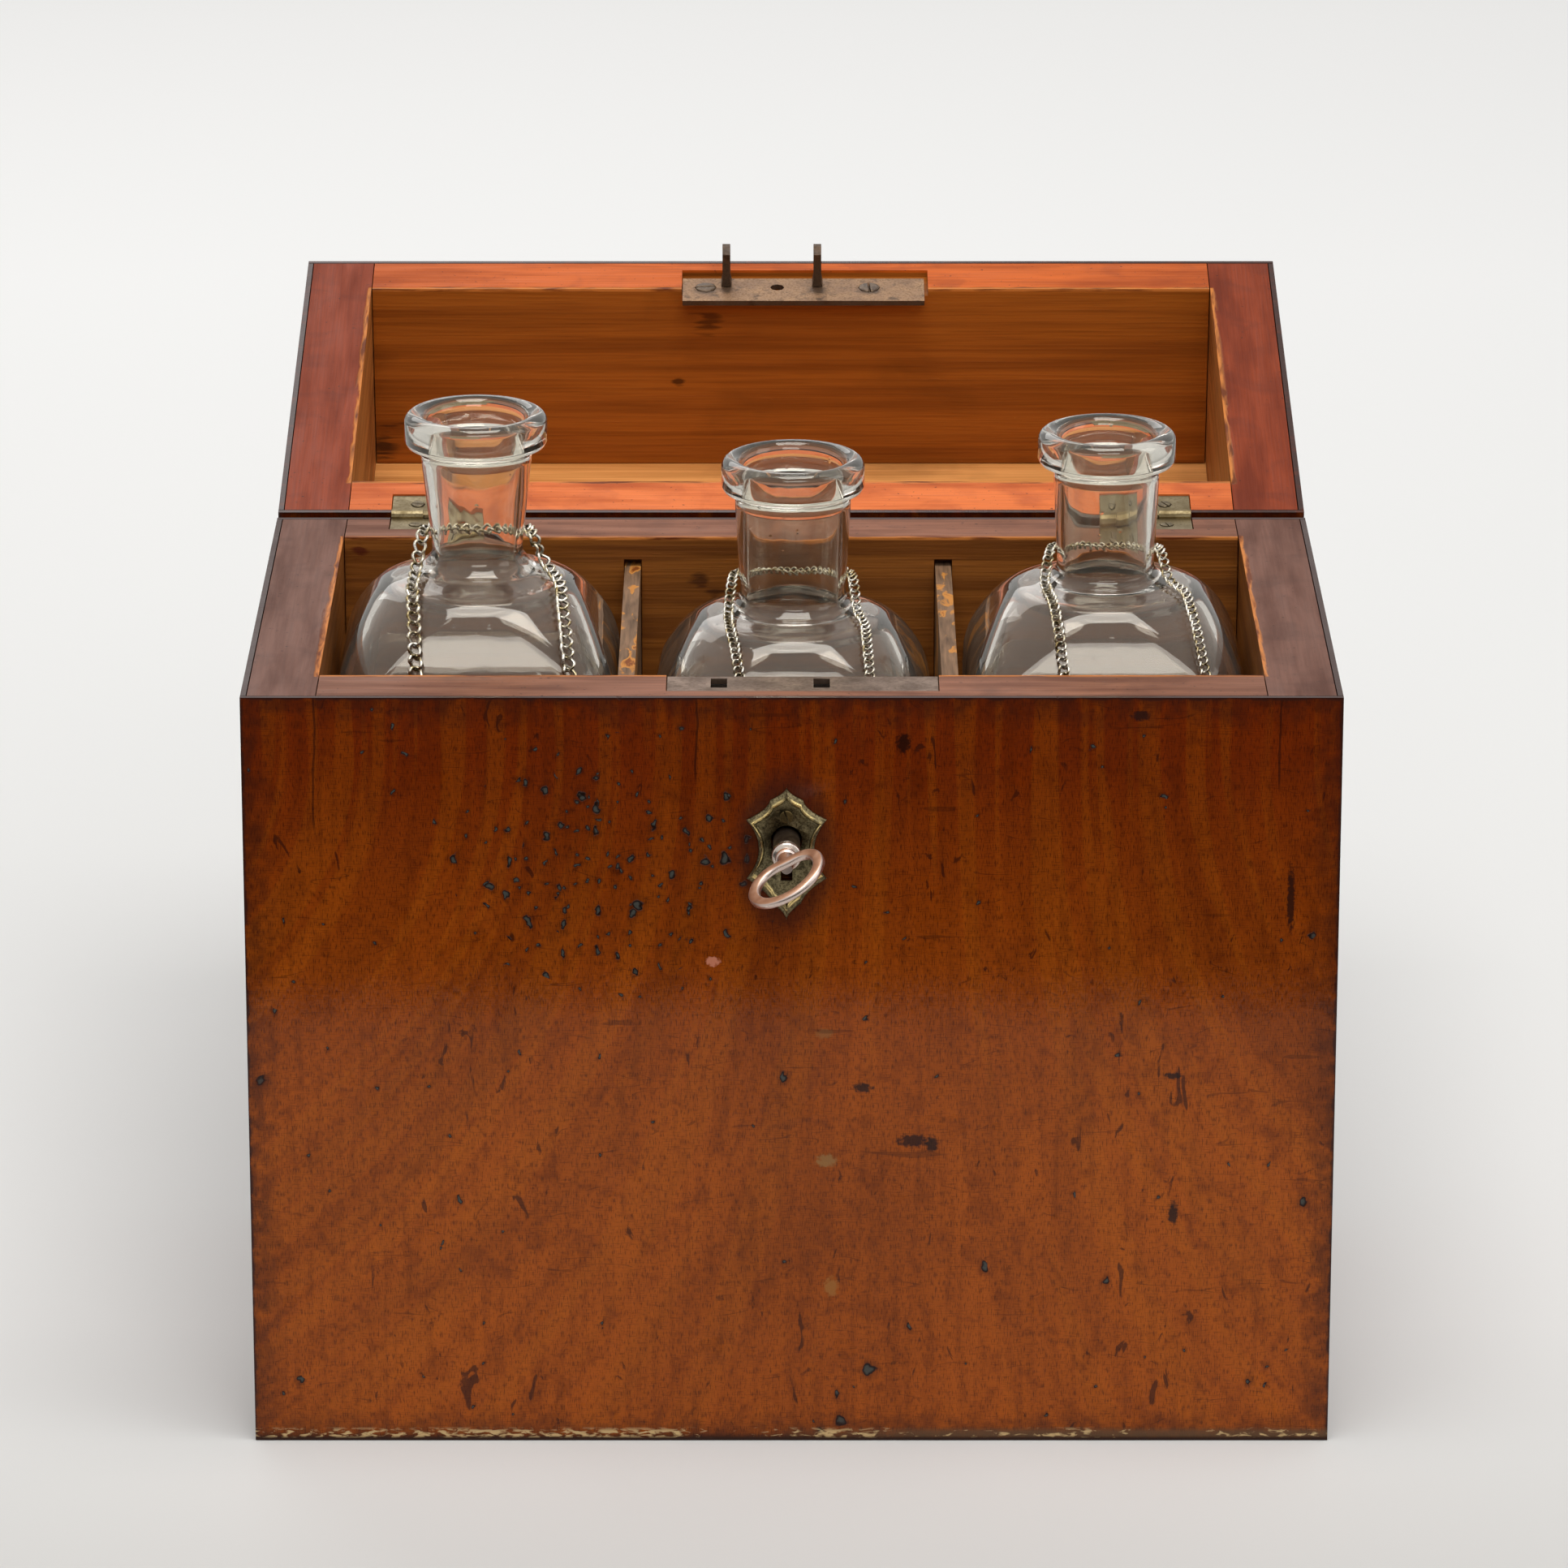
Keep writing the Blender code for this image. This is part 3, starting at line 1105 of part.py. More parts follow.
def chain_route(side, off):
    """The closed line of one chain: round the back of the neck, down both strands, and across in a bend."""
    spec, chain = BOTTLES[side], CHAINS[side]
    points = []
    for i in range(NECK_STEPS + 1):
        turn = math.radians(180) * i / NECK_STEPS
        up = CHAIN_ON_NECK + CHAIN_SIDE_RISE * abs(math.cos(turn))
        radius = spec["neck"] + (spec["throat"] - spec["neck"]) * (up + off) / NECK_LENGTH + off
        points.append((spec["x"] + radius * math.cos(turn), radius * math.sin(turn), neck_foot(spec) + up))
    left = strand_stations(spec, chain, -1, off)
    right = strand_stations(spec, chain, 1, off)
    points += left
    low = left[-1]
    wide = (right[-1][0] - low[0]) / 2
    for i in range(1, BEND_STEPS):
        turn = math.radians(180) * i / BEND_STEPS
        x = low[0] + wide * (1 - math.cos(turn))
        points.append((x, low[1], low[2] - CHAIN_DROP * math.sin(turn)))
    return [Vector(p) for p in points + right[::-1]]


def smooth_loop(points):
    """A closed Catmull-Rom curve through the points."""
    count = len(points)
    curve = []
    for i in range(count):
        a, b, c, d = (points[(i + k) % count] for k in (-1, 0, 1, 2))
        for step in range(CURVE_STEPS):
            t = step / CURVE_STEPS
            bend = (2 * a - 5 * b + 4 * c - d) * t**2 + (3 * b - a - 3 * c + d) * t**3
            curve.append((2 * b + (c - a) * t + bend) / 2)
    return curve


def even_places(curve, pitch):
    """Places and directions one pitch apart round a closed curve, an even number of them."""
    legs = [(b - a).length for a, b in zip(curve, curve[1:] + curve[:1])]
    total = sum(legs)
    count = 2 * round(total / pitch / 2)
    places, leg, gone = [], 0, 0.0
    for n in range(count):
        want = total * n / count
        while gone + legs[leg] < want:
            gone += legs[leg]
            leg += 1
        a, b = curve[leg], curve[(leg + 1) % len(curve)]
        places.append((a.lerp(b, (want - gone) / legs[leg]), (b - a).normalized()))
    return places


def joint_corners(bm, at, along, out, across, chain):
    """The little block where two links bear on each other, as vertices by their place on its three axes."""
    half = chain["wire"] / 2
    long = half * BEARING_SHARE
    corners = {}
    for i in (-1, 1):
        for j in (-1, 1):
            for k in (-1, 1):
                corners[i, j, k] = bm.verts.new(at + along * long * i + out * half * j + across * half * k)
    for i in (-1, 1):
        bm.faces.new([corners[i, j, k] for j, k in SQUARE])
    return corners


def add_link(bm, start, end, chain):
    """One link: two bowed wires between two bearings."""
    half, wide = chain["wire"] / 2, (chain["width"] - chain["wire"]) / 2
    middle = (start["at"] + end["at"]) / 2
    out = (start["out"] + end["out"]).normalized()
    across = (start["across"] + end["across"]).normalized()
    for side in (-1, 1):
        rows = []
        rows.append([start["corners"](i, side, k) for i, k in LINK_WALK])
        points = [middle + out * side * (wide - i * half) + across * half * k for i, k in LINK_WALK]
        rows.append([bm.verts.new(p) for p in points])
        rows.append([end["corners"](-i, side, k) for i, k in LINK_WALK])
        for here, there in zip(rows, rows[1:]):
            for i in range(4):
                j = (i + 1) % 4
                bm.faces.new((here[i], here[j], there[j], there[i]))


LINK_WALK = ((-1, -1), (1, -1), (1, 1), (-1, 1))


def make_chain(side, metal, bottle):
    """Links of wire, each turned a quarter from the last, fused where they bear on each other."""
    chain = CHAINS[side]
    off = (chain["width"] + chain["wire"]) / 2 * math.cos(math.radians(LINK_LEAN_DEG)) + CHAIN_CLEAR
    places = even_places(smooth_loop(chain_route(side, off)), chain["pitch"])
    heart = Vector((BOTTLES[side]["x"], 0, shoulder_levels(BOTTLES[side])[-1][2]))
    bm = bmesh.new()
    bearings = []
    for at, along in places:
        away = at - heart
        up = (away - along * away.dot(along)).normalized()
        out, across = (
            Matrix.Rotation(math.radians(sign * LINK_LEAN_DEG), 3, along) @ up for sign in (1, -1)
        )
        corners = joint_corners(bm, at, along, out, across, chain)
        bearings.append((at, out, across, corners))
    for n, here in enumerate(bearings):
        there = bearings[(n + 1) % len(bearings)]
        add_link(bm, bearing_seen(here, n % 2), bearing_seen(there, n % 2), chain)
    return place(bm, f"{side}_chain", metal, bottle.location, bottle)


def bearing_seen(bearing, turned):
    """A bearing with the axes as a link sees them: every other link lies a quarter turn on."""
    at, out, across, corners = bearing
    if turned:
        return {"at": at, "out": across, "across": out, "corners": lambda i, j, k: corners[i, k, j]}
    return {"at": at, "out": out, "across": across, "corners": lambda i, j, k: corners[i, j, k]}


def main():
    clear_scene()
    pine = material("pine", "#9a6230", 0.6)
    rim_pine = material("lid_pine", "#b0623a", 0.55)
    mahogany = material("mahogany_veneer", "#7c3a14", 0.3)
    brass = material("brass", "#8a7a58", 0.4, 1.0)
    old_brass = material("dark_brass", "#6a5a28", 0.35, 1.0)
    steel = material("lock_steel", "#6a5848", 0.5, 1.0)
    dark_steel = material("dark_steel", "#4a423a", 0.5, 1.0)
    nickel = material("key_nickel", "#b08070", 0.3, 1.0)
    silver = material("chain_silver", "#c0b090", 0.3, 1.0)
    glass = material("clear_glass", "#e8ece8", 0.05, 0.0, 0.9)
    pivot = bpy.data.objects.new("lid_pivot", None)
    bpy.context.scene.collection.objects.link(pivot)
    pivot.location = (0, HINGE_AXIS_Y, HINGE_AXIS_Z)
    body = make_body(pine, mahogany)
    lid = make_lid(pivot, rim_pine, mahogany)
    for side, x in (("left", -HINGE_X), ("right", HINGE_X)):
        make_hinge(side, x, body, lid, pivot, brass, steel)
    make_lock(body, steel, dark_steel)
    make_escutcheon(body["front_veneer"], body["front_board"], old_brass)
    make_hook_plate(lid, pivot, steel, dark_steel)
    make_key(nickel)
    for side in BOTTLES:
        bottle = make_bottle(side, glass)
        make_chain(side, silver, bottle)
    pivot.rotation_euler.x = -math.radians(LID_OPEN_DEG)


main()
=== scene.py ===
import bpy
import bmesh
import math
import random
from mathutils import Matrix, Vector


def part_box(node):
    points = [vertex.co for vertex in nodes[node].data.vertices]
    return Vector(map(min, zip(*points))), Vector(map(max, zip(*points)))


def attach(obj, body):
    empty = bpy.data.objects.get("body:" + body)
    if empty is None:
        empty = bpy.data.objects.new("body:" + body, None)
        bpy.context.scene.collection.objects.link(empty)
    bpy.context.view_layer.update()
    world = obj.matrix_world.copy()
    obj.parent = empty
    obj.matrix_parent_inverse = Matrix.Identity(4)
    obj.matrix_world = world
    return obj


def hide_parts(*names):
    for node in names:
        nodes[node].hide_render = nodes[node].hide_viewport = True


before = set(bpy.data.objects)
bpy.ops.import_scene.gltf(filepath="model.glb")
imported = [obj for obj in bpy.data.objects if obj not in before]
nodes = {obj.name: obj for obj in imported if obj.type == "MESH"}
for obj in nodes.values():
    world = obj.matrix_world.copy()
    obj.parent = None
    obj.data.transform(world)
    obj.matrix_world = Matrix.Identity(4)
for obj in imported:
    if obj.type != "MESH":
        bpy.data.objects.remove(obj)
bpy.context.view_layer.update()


# The camera stands 2.2 m in front of the case and looks down on it, as in the photograph. The pale paper
# under the case ends 0.4 m in front: the foot of the polished face mirrors paper, and its top a dark room.
# One wide soft lamp hangs over the case and a dimmer one over the camera, and the air round it is pale.
def colour(text):
    """An sRGB hex colour as the linear colour that a socket takes."""
    channels = [int(text[i : i + 2], 16) / 255 for i in (1, 3, 5)]
    return [c / 12.92 if c <= 0.04045 else ((c + 0.055) / 1.055) ** 2.4 for c in channels] + [1.0]


def fill(node, inputs):
    """Fills a node's inputs, by name or in order, with values, hex colours or sockets to link."""
    for key, value in inputs.items() if isinstance(inputs, dict) else enumerate(inputs):
        if isinstance(value, bpy.types.NodeSocket):
            tree.links.new(value, node.inputs[key])
        else:
            node.inputs[key].default_value = colour(value) if isinstance(value, str) else value


def add(kind, inputs=(), operation=None, output=0, **settings):
    """Adds a shader node to the tree in hand, with its inputs and settings. Gives one of its outputs."""
    node = tree.nodes.new("ShaderNode" + kind)
    if operation:
        node.operation = operation
    for key, value in settings.items():
        setattr(node, key, value)
    fill(node, inputs)
    return node.outputs[output]


def material(name, inputs=()):
    """Starts a Principled material, and takes its node tree in hand for what is added next."""
    global tree
    made = bpy.data.materials.new(name)
    made.use_nodes = True
    tree = made.node_tree
    shader = tree.nodes["Principled BSDF"]
    fill(shader, inputs)
    return made, shader


scene = bpy.context.scene
CAMERA_AT = (-0.0021, -2.195, 0.886)
CAMERA_DOWN = math.radians(18.19)
CAMERA_LENS, CAMERA_SENSOR = 186.9, 36
camera_data = bpy.data.cameras.new("camera")
camera = bpy.data.objects.new("camera", camera_data)
scene.collection.objects.link(camera)
camera.location = CAMERA_AT
camera.rotation_euler = (math.radians(90) - CAMERA_DOWN, 0, 0)
camera_data.lens, camera_data.sensor_width = CAMERA_LENS, CAMERA_SENSOR
scene.camera = camera
scene.view_settings.view_transform = "Standard"

AIR_LIGHT, AIR_SEEN = 0.46, 0.78
world = bpy.data.worlds.new("studio")
scene.world = world
world.use_nodes = True
tree = world.node_tree
rays = add("LightPath").node.outputs
seen = add("Math", [rays["Is Glossy Ray"], rays["Is Transmission Ray"]], "MAXIMUM")
seen = add("Math", [seen, rays["Is Camera Ray"]], "MAXIMUM")
strength = add("MapRange", {0: seen, 3: AIR_LIGHT, 4: AIR_SEEN})
fill(tree.nodes["Background"], {"Color": "#f4f2ef", "Strength": strength})

PAPER_EDGE_Y = -0.445
PAPER_HALF = 7.0
PAPER_DROP = 0.0002
paper, shader = material("matt_paper", {"Roughness": 0.9, "Specular IOR Level": 0.1})
place_y = add("SeparateXYZ", [add("NewGeometry")], output=1)
far = add("MapRange", [place_y, -0.5, 1.2])
# Painted shade: the paper's colour is darker towards the front.
seen = add("Mix", {0: far, 6: "#cccbc8", 7: "#efefee"}, output=2, data_type="RGBA")
beyond = add("MapRange", [place_y, PAPER_EDGE_Y - 0.02, PAPER_EDGE_Y + 0.01])
mirrored = add("Mix", {0: beyond, 6: "#0c0b0a", 7: "#d0cfcc"}, output=2, data_type="RGBA")
rays = add("LightPath").node.outputs
in_mirror = [rays["Is Glossy Ray"], rays["Is Transmission Ray"]]
in_mirror = add("Math", in_mirror, "SUBTRACT", use_clamp=True)
tone = add("Mix", {0: in_mirror, 6: seen, 7: mirrored}, output=2, data_type="RGBA")
# Painted light: for the camera alone the paper glows, beside the case and more further back.
pale = add("MapRange", {0: place_y, 1: -0.2, 2: 0.0, 4: 0.13})
paler = add("MapRange", {0: place_y, 1: 0.3, 2: 1.7, 4: 0.13})
painted_glow = add("Math", [pale, paler])
painted_glow = add("Math", [painted_glow, rays["Is Camera Ray"]], "MULTIPLY")
fill(shader, {"Base Color": tone, "Emission Color": "#ffffff", "Emission Strength": painted_glow})
bm = bmesh.new()
bmesh.ops.create_grid(bm, x_segments=1, y_segments=1, size=PAPER_HALF)
paper_mesh = bpy.data.meshes.new("paper")
bm.to_mesh(paper_mesh)
bm.free()
paper_mesh.materials.append(paper)
paper_sheet = bpy.data.objects.new("paper", paper_mesh)
paper_sheet.location.z = -PAPER_DROP
scene.collection.objects.link(paper_sheet)

LAMPS_AIM = Vector((0, 0, 0.15))
LAMPS = (
    ("overhead_lamp", (0.06, -0.26, 1.50), (0.80, 0.70), 11.5),
    ("front_lamp", (0.15, -2.10, 1.75), (1.50, 0.60), 13.0),
    ("right_lamp", (1.4, -0.4, 1.0), (0.8, 0.8), 3.0),
    ("rear_lamp", (-0.5, 1.5, 1.3), (1.2, 0.8), 5.0),
)
for name, at, size, power in LAMPS:
    lamp_data = bpy.data.lights.new(name, "AREA")
    lamp_data.shape = "RECTANGLE"
    lamp_data.size, lamp_data.size_y = size
    lamp_data.energy = power
    lamp = bpy.data.objects.new(name, lamp_data)
    lamp.location = at
    lamp.rotation_euler = (LAMPS_AIM - Vector(at)).to_track_quat("-Z", "Y").to_euler()
    scene.collection.objects.link(lamp)


# The body is glued up from sawn pine boards, stained red-brown on the rim and left raw inside. The rim is
# worn grey by hands, and raw pine shows as a splintered orange line along its inner edge.
# Grain runs along each board, with darker late wood about 4 mm apart.
def middle_of(name):
    """The middle of a CAD node's box."""
    return [(low + high) / 2 for low, high in zip(*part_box(name))]


BODY_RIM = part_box("front_board")[1].z
INNER_X = -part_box("left_side_board")[1].x
INNER_Y = -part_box("front_board")[1].y
HINGE_AXIS = Vector((0, *middle_of("left_hinge_pin")[1:]))
LID_OPEN = math.radians(169.6)
# How long and how wide the marks of the wood are. Real pine fibres are 0.03 mm wide. They are drawn 0.7 mm
# wide so that they show.
RINGS = (0.16, 0.004)
FIBRES = (0.03, 0.0007)
CHIPS = (0.016, 0.002)
WORN_STREAKS = (0.05, 0.006)
SPLINTER = 0.0042
BOARD_EDGE = 0.0004


def board_place(lid):
    """Where a point lies in the shut case. The lid's boards are turned back on their hinges first."""
    at = add("TexCoord", output="Object")
    if not lid:
        return at
    back = HINGE_AXIS - Matrix.Rotation(LID_OPEN, 3, "X") @ HINGE_AXIS
    return add("Mapping", {"Vector": at, "Location": back, "Rotation": (LID_OPEN, 0, 0)})


def grain(at, size, detail=4.0, twist=0.0, shift=0.0):
    """Noise whose patches are about as long as size, in metres, the same or different along each axis."""
    scale = [1 / s for s in (size if isinstance(size, (list, tuple)) else (size,) * 3)]
    laid = add("Mapping", {"Vector": at, "Location": (shift,) * 3, "Scale": scale})
    return add("TexNoise", {"Vector": laid, "Scale": 1.0, "Detail": detail, "Distortion": twist})


def over(under, top, pattern, low=0.0, high=1.0, most=1.0):
    """Lays a top colour over another: none of it where the pattern is low, and most where it is high."""
    share = add("MapRange", {0: pattern, 1: low, 2: high, 4: most})
    return add("Mix", {0: share, 6: under, 7: top}, output=2, data_type="RGBA")


def surface(shader, tint, rough, relief, strength, depth):
    """Links a colour, a roughness and a relief to a shader, and gives the relief's normal."""
    normal = add("Bump", {"Strength": strength, "Distance": depth, "Height": relief})
    fill(shader, {"Base Color": tint, "Roughness": rough, "Normal": normal})
    return normal


def sawn_pine(name, along, raw, late, rim, rim_dark, lid=False, shift=0.0, stains=()):
    """Pine with its grain along an axis: raw inside, with a stained rim that is worn at its inner edge."""
    made, shader = material(name, {"Specular IOR Level": 0.12})
    at = board_place(lid)
    x, y, z = add("SeparateXYZ", [at]).node.outputs

    def streaks(size, *more):
        """Noise of a length along the grain and a width across it."""
        return grain(at, [size[0] if axis == along else size[1] for axis in "xyz"], *more)

    rings = streaks(RINGS, 3, 0.4, shift)
    fibre = streaks(FIBRES, 3, 0.0, shift)
    chips = streaks(CHIPS, 6, 0.3, shift + 3)
    cloud = grain(at, (0.05, 0.05, 0.035), 5, 0.4, shift + 7)
    wood = over(raw, late, rings, 0.42, 0.66, 0.6)
    wood = over(wood, late, fibre, 0.45, 0.75, 0.45)
    wood = over(wood, "#3c1c08", cloud, 0.55, 0.80, 0.55)
    for place, reach, tint in stains:
        away = add("VectorMath", [at, place], "DISTANCE", "Value")
        away = add("Math", [chips, reach * 4, away], "MULTIPLY_ADD")
        wood = over(wood, tint, away, reach * 3.0, reach * 2.4, 0.75)

    off_middle = add("Math", [x], "ABSOLUTE")
    beside = add("Math", [off_middle, -INNER_X])
    before = add("Math", [add("Math", [y], "ABSOLUTE"), -INNER_Y])
    off_edge = add("Math", [beside, before], "MAXIMUM")
    ragged = add("Math", [chips, -SPLINTER, off_edge], "MULTIPLY_ADD")
    broken = add("MapRange", [ragged, -0.0006, -0.0012])
    worn = streaks(WORN_STREAKS, 5, 0.2, shift + 11)
    patches = grain(at, 0.014, 6, 0.5, shift + 15)
    specks = grain(at, 0.0014, 2, 0.0, shift)
    stained = over(rim, rim_dark, fibre, 0.40, 0.80, 0.45)
    stained = over(stained, rim_dark, worn, 0.44, 0.72, 0.75)
    stained = over(stained, rim_dark, patches, 0.50, 0.70, 0.5)
    stained = over(stained, rim_dark, off_middle, 0.08, 0.15, 0.4)
    stained = over(stained, "#2a1812", specks, 0.68, 0.76, 0.8)
    torn = over("#c87a38", "#6a3212", chips, 0.45, 0.62)
    stained = add("Mix", {0: broken, 6: stained, 7: torn}, output=2, data_type="RGBA")
    rise = add("Math", [add("Math", [z, -BODY_RIM]), -0.0002])
    off_rim = add("Math", [rise], "ABSOLUTE")
    wood = over(wood, stained, off_rim, 0.0012, 0.0007)
    rough = add("MapRange", [worn, 0.3, 0.7, 0.40, 0.60])
    height = add("Math", [broken, -1.5, fibre], "MULTIPLY_ADD")
    surface(shader, wood, rough, height, 0.35, 0.0004)
    return made


def finish_node(name, made, soften=0.0):
    """Gives a CAD node its material and eases its sharp edges."""
    node = nodes[name]
    node.data.materials.clear()
    node.data.materials.append(made)
    if soften:
        ease = node.modifiers.new("eased_edges", "BEVEL")
        ease.width = soften
        ease.segments = 2
        ease.limit_method = "ANGLE"


# Spilt varnish and damp on the rear wall inside: (place, reach, colour)
WALL_STAINS = (
    ((-0.1250, INNER_Y, 0.2145), 0.0026, "#4a0f0a"),
    ((-0.0262, INNER_Y, 0.2050), 0.0030, "#3a1c0c"),
    ((-0.0225, INNER_Y, 0.1995), 0.0040, "#3a1c0c"),
)
cross_pine = sawn_pine(
    "sawn_pine_cross", "x", "#8e5420", "#54290c", "#8e5c44", "#58362a", stains=WALL_STAINS
)
side_pine = sawn_pine("sawn_pine_sides", "y", "#8c5424", "#54290c", "#805646", "#4e3026", shift=5.0)
bottom_pine = sawn_pine("sawn_pine_bottom", "x", "#94602e", "#5a3414", "#80594a", "#57392e", shift=9.0)
for name, made in (("front_board", cross_pine), ("rear_board", cross_pine), ("bottom_board", bottom_pine)):
    finish_node(name, made, BOARD_EDGE)
for name in ("left_side_board", "right_side_board"):
    finish_node(name, side_pine, BOARD_EDGE)


# The two dividers are thin pine boards slid into grooves. Their edges are grey with wear and dirt,
# and long chips have split off the front edges, where the clean orange wood shows.
worn_divider, shader = material("worn_thin_pine", {"Specular IOR Level": 0.12})
at = board_place(False)
fibre = grain(at, (0.0011, 0.016, 0.016), 4, 0.3)
splits = grain(at, (0.0040, 0.011, 0.038), 4, 0.5, 4.0)
dirt = grain(at, (0.025, 0.025, 0.016), 5, 0.6, 8.0)
wood = over("#8a6a50", "#54402f", fibre, 0.35, 0.75)
wood = over(wood, "#c0803c", splits, 0.57, 0.62)
wood = over(wood, "#7a4018", splits, 0.66, 0.72)
wood = over(wood, "#3a2a20", dirt, 0.55, 0.75, 0.8)
surface(shader, wood, 0.6, splits, 0.5, 0.0004)
for name in ("left_divider", "right_divider"):
    finish_node(name, worn_divider, 0.0007)


# Mahogany veneer, sawn about 1.5 mm thick, glued to the pine and French polished with many thin coats of
# shellac: a clear wet gloss over deep red-brown wood with short dark pores. The figure stands upright at
# the top of the front sheet and fans out further down.

# Real pores are 0.2 mm wide. They are drawn half as wide again so that they show.
PORE_WIDTH = 0.0003
PORE_LENGTH = 0.0022
STRIPE_WIDTH = 0.0070
STRIPE_LENGTH = 0.22
FAN_TOP = 0.205
VENEER_EDGE = 0.0003
# At the top of a sheet and at its foot
VENEER_TINTS = ("#642200", "#7c3408")


def polished_mahogany(name, across, along, shift, lid=False, heart=0.0, fan=10.0, tints=VENEER_TINTS):
    """Starts a veneer whose figure fans out: (material, shader, places, colour, height)."""
    sockets = {"Specular IOR Level": 0.04, "Coat Weight": 0.4, "Coat Roughness": 0.03, "Coat IOR": 1.5}
    made, shader = material(name, sockets)
    places = add("SeparateXYZ", [board_place(lid)]).node.outputs
    cross, run = places["xyz".index(across)], places["xyz".index(along)]
    drop = add("Math", [FAN_TOP, run], "SUBTRACT")
    drop = add("Math", [drop, 0.0], "MAXIMUM")
    spread = add("Math", [drop, drop], "MULTIPLY")
    spread = add("Math", [spread, fan, 1.0], "MULTIPLY_ADD")
    fanned = add("Math", [add("Math", [cross, -heart]), spread], "DIVIDE")
    sheet = add("CombineXYZ", [fanned, run])
    straight = add("CombineXYZ", [cross, run])
    stripes = grain(sheet, (STRIPE_WIDTH, STRIPE_LENGTH, 1), 2, 0.25, shift + 5)
    lines = grain(sheet, (STRIPE_WIDTH / 4, STRIPE_LENGTH / 2, 1), 2, 0.1, shift + 3)
    flame = grain(sheet, (0.030, 0.15, 1), 3, 1.0, shift + 9)
    ribbon = grain(straight, (0.0020, 0.035, 1), 3, 0.4, shift + 2)
    mottle = grain(straight, (0.006, 0.007, 1), 6, 0.8, shift + 12)
    pores = grain(straight, (PORE_WIDTH, PORE_LENGTH, 1), 2, 0.0, shift)
    rays = grain(straight, (PORE_LENGTH * 1.4, PORE_WIDTH, 1), 2, 0.0, shift + 1)
    wood = over(*tints, run, 0.20, 0.09)
    wood = over(wood, "#b4620c", stripes, 0.50, 0.56, 0.14)
    wood = over(wood, "#401200", stripes, 0.46, 0.40, 0.10)
    wood = over(wood, "#401200", lines, 0.52, 0.60, 0.10)
    wood = over(wood, "#441400", flame, 0.48, 0.76, 0.36)
    wood = over(wood, "#3a1000", ribbon, 0.45, 0.75, 0.26)
    wood = over(wood, "#481402", mottle, 0.50, 0.74, 0.40)
    wood = over(wood, "#2a0c02", pores, 0.52, 0.68, 0.60)
    wood = over(wood, "#3a1404", rays, 0.52, 0.70, 0.42)
    height = add("Math", [pores, -0.4], "MULTIPLY")
    return made, shader, places, wood, height


def polish(shader, wood, height, dull=0.0):
    """Links a veneer's colour, and a gloss that is a little uneven, as brushed and rubbed shellac is."""
    at = add("TexCoord", output="Object")
    rubbed = grain(at, 0.016, 4, 0.0, 1.0)
    rough = add("MapRange", [rubbed, 0.3, 0.7, 0.26, 0.42])
    rough = add("Math", [dull, 0.3, rough], "MULTIPLY_ADD")
    waves = grain(at, 0.028, 2, 0.0, 2.0)
    height = add("Math", [waves, 0.8, height], "MULTIPLY_ADD")
    normal = surface(shader, wood, rough, height, 0.25, 0.0004)
    fill(shader, {"Coat Normal": normal})


def worn_edges(wood, places, half, low_z, high_z, axis=0):
    """A darker, chipped line along a sheet's edges, and old dirt beside it."""
    reach = add("Math", [places[axis]], "ABSOLUTE")
    beside = add("Math", [half, reach], "SUBTRACT")
    above = add("Math", [high_z, places[2]], "SUBTRACT")
    below = add("Math", [places[2], low_z], "SUBTRACT")
    edge = add("Math", [above, below], "MINIMUM")
    edge = add("Math", [edge, beside], "MINIMUM")
    at = add("CombineXYZ", places)
    ragged = grain(at, 0.004, 4, 0.2, 6.0)
    chipped = add("Math", [ragged, -0.0020, edge], "MULTIPLY_ADD")
    near = add("MapRange", [edge, 0.016, 0.0])
    darkening = add("Math", [near, ragged], "MULTIPLY")
    wood = over(wood, "#34140a", darkening, 0.20, 0.50, 0.6)
    return over(wood, "#341810", chipped, -0.0001, -0.0007)


CASE_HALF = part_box("front_veneer")[1].x
FRONT_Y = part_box("front_veneer")[0].y
FRONT_HEART = 0.030
FRONT_FAN = 42.0
front_mahogany, shader, places, wood, height = polished_mahogany(
    "polished_mahogany_front", "x", "z", 0.0, False, FRONT_HEART, FRONT_FAN, ("#702600", "#a6500c")
)
x, z = places[0], places[2]
face = add("CombineXYZ", [x, z])

# Worm-like pits, up to 2 mm long, crowd a patch beside the lock and are rare elsewhere. Of each size:
# width and height of the cells that may hold one, the share left empty, and how much the crowd counts
PIT_AREA = (-0.050, 0.172, 0.040, 0.038)
PITS = ((0.0050, 0.0068, 0.68, 1.0), (0.0028, 0.0034, 0.76, 0.9), (0.0080, 0.0100, 0.95, 0.4))


def off_mark(x, z, half_wide, half_tall):
    """How far a point of the face lies from a mark: 0 in its middle and 1 at its rim."""
    off = add("VectorMath", [face, (x, z, 0)], "SUBTRACT")
    off = add("VectorMath", [off, (half_wide, half_tall, 1)], "DIVIDE")
    return add("VectorMath", [off], "LENGTH", "Value")


